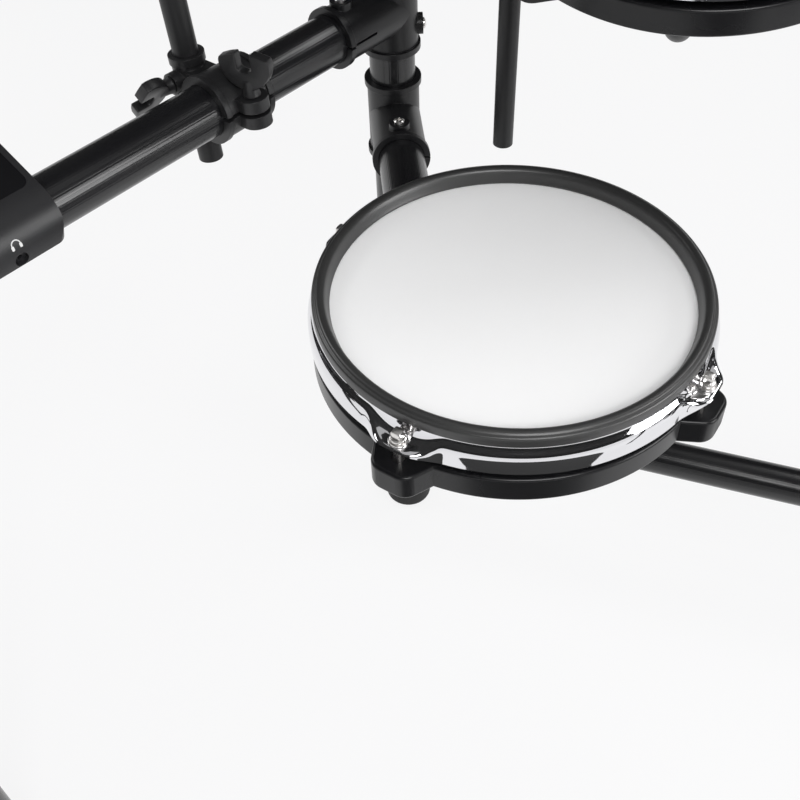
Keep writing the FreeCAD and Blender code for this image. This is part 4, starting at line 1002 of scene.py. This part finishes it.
# %% Soft boxes
SOFT_BOXES = (  # name, place, aim, width, height, watts
    ("side", (2.3, -0.4, 1.2), (-0.1, -0.25, 0.64), 1.1, 1.1, 26),
    ("key", (1.2, -1.9, 2.5), (0.2, -0.3, 0.6), 1.2, 0.9, 34),
    ("top", (0.5, 0.1, 2.5), (0.2, -0.2, 0.6), 2.0, 1.5, 4),
    ("back", (1.15, 0.9, 2.2), (0.0, -0.1, 0.64), 0.8, 0.6, 7),
    ("left", (-1.5, 0.2, 1.8), (0.0, -0.1, 0.64), 0.9, 0.7, 8))
MOSTLY_UPRIGHT = 0.95


def soft_box(name, where, towards, width, height, power):
    """A lamp shines along its own -z, so z points from the aim back to the lamp."""
    lamp = bpy.data.lights.new(name, "AREA")
    lamp.shape, lamp.size, lamp.size_y, lamp.energy = "RECTANGLE", width, height, power
    made = bpy.data.objects.new(name, lamp)
    back = direction(np.array(where) - np.array(towards))
    side = direction(np.cross(UP if abs(back[2]) < MOSTLY_UPRIGHT else -NEAR, back))
    made.matrix_world = Matrix(framed(side, np.cross(back, side), back, where).tolist())
    bpy.context.scene.collection.objects.link(made)


for box in SOFT_BOXES:
    soft_box(*box)
print("soft boxes", len(SOFT_BOXES))

# %% [markdown]
# A white room would turn chrome and glossy black grey all over. A photographer hangs dark cards
# where only reflections see them, and so does this scene: a dark ceiling, and a dark disc on
# the floor in front. Camera, soft light and shadows pass them by.

# %% Dark cards
CEILING = np.array([(0.0, 3.2), (9.0, 3.2), (9.0, 1.1)])
FLAG_AT, FLAG_R, CARD_COLUMNS = (0.6, -1.15, 0.01), 0.55, 64
flag = carried(turned([(0.0, 0.0), (FLAG_R, 0.0)], CARD_COLUMNS), moved(FLAG_AT))
cards = {"dark_ceiling": turned(CEILING, CARD_COLUMNS), "dark_flag": flag}
dark_room = finish("dark room", (0.03, 0.03, 0.03), 0.9)[0]
for name, shape in cards.items():
    dark = mesh_object(name, shape)
    dark.visible_camera = dark.visible_diffuse = dark.visible_shadow = False
    paint([dark], dark_room)
print("dark cards", list(cards))

# %% [markdown]
# The camera stands where the photograph's did, above the drummer's left shoulder.

# %% Camera
SENSOR, LENS = 36.0, 47.7
CAMERA_AT = 0.268, -0.754, 1.059
CAMERA_RIGHT = np.array([0.9500, 0.3108, -0.0295])
CAMERA_DOWN = np.array([0.2128, -0.7139, -0.6671])
CAMERA_AHEAD = np.array([-0.2284, 0.6275, -0.7444])
camera_data = bpy.data.cameras.new("photo_view")
camera_data.sensor_width, camera_data.lens = SENSOR, LENS
camera = bpy.data.objects.new("photo_view", camera_data)
view_place = framed(CAMERA_RIGHT, -CAMERA_DOWN, -CAMERA_AHEAD, CAMERA_AT)
camera.matrix_world = Matrix(view_place.tolist())
bpy.context.scene.collection.objects.link(camera)
bpy.context.scene.camera = camera
print("camera at", CAMERA_AT, "lens", LENS)
bpy.context.scene.view_settings.view_transform = "Standard"
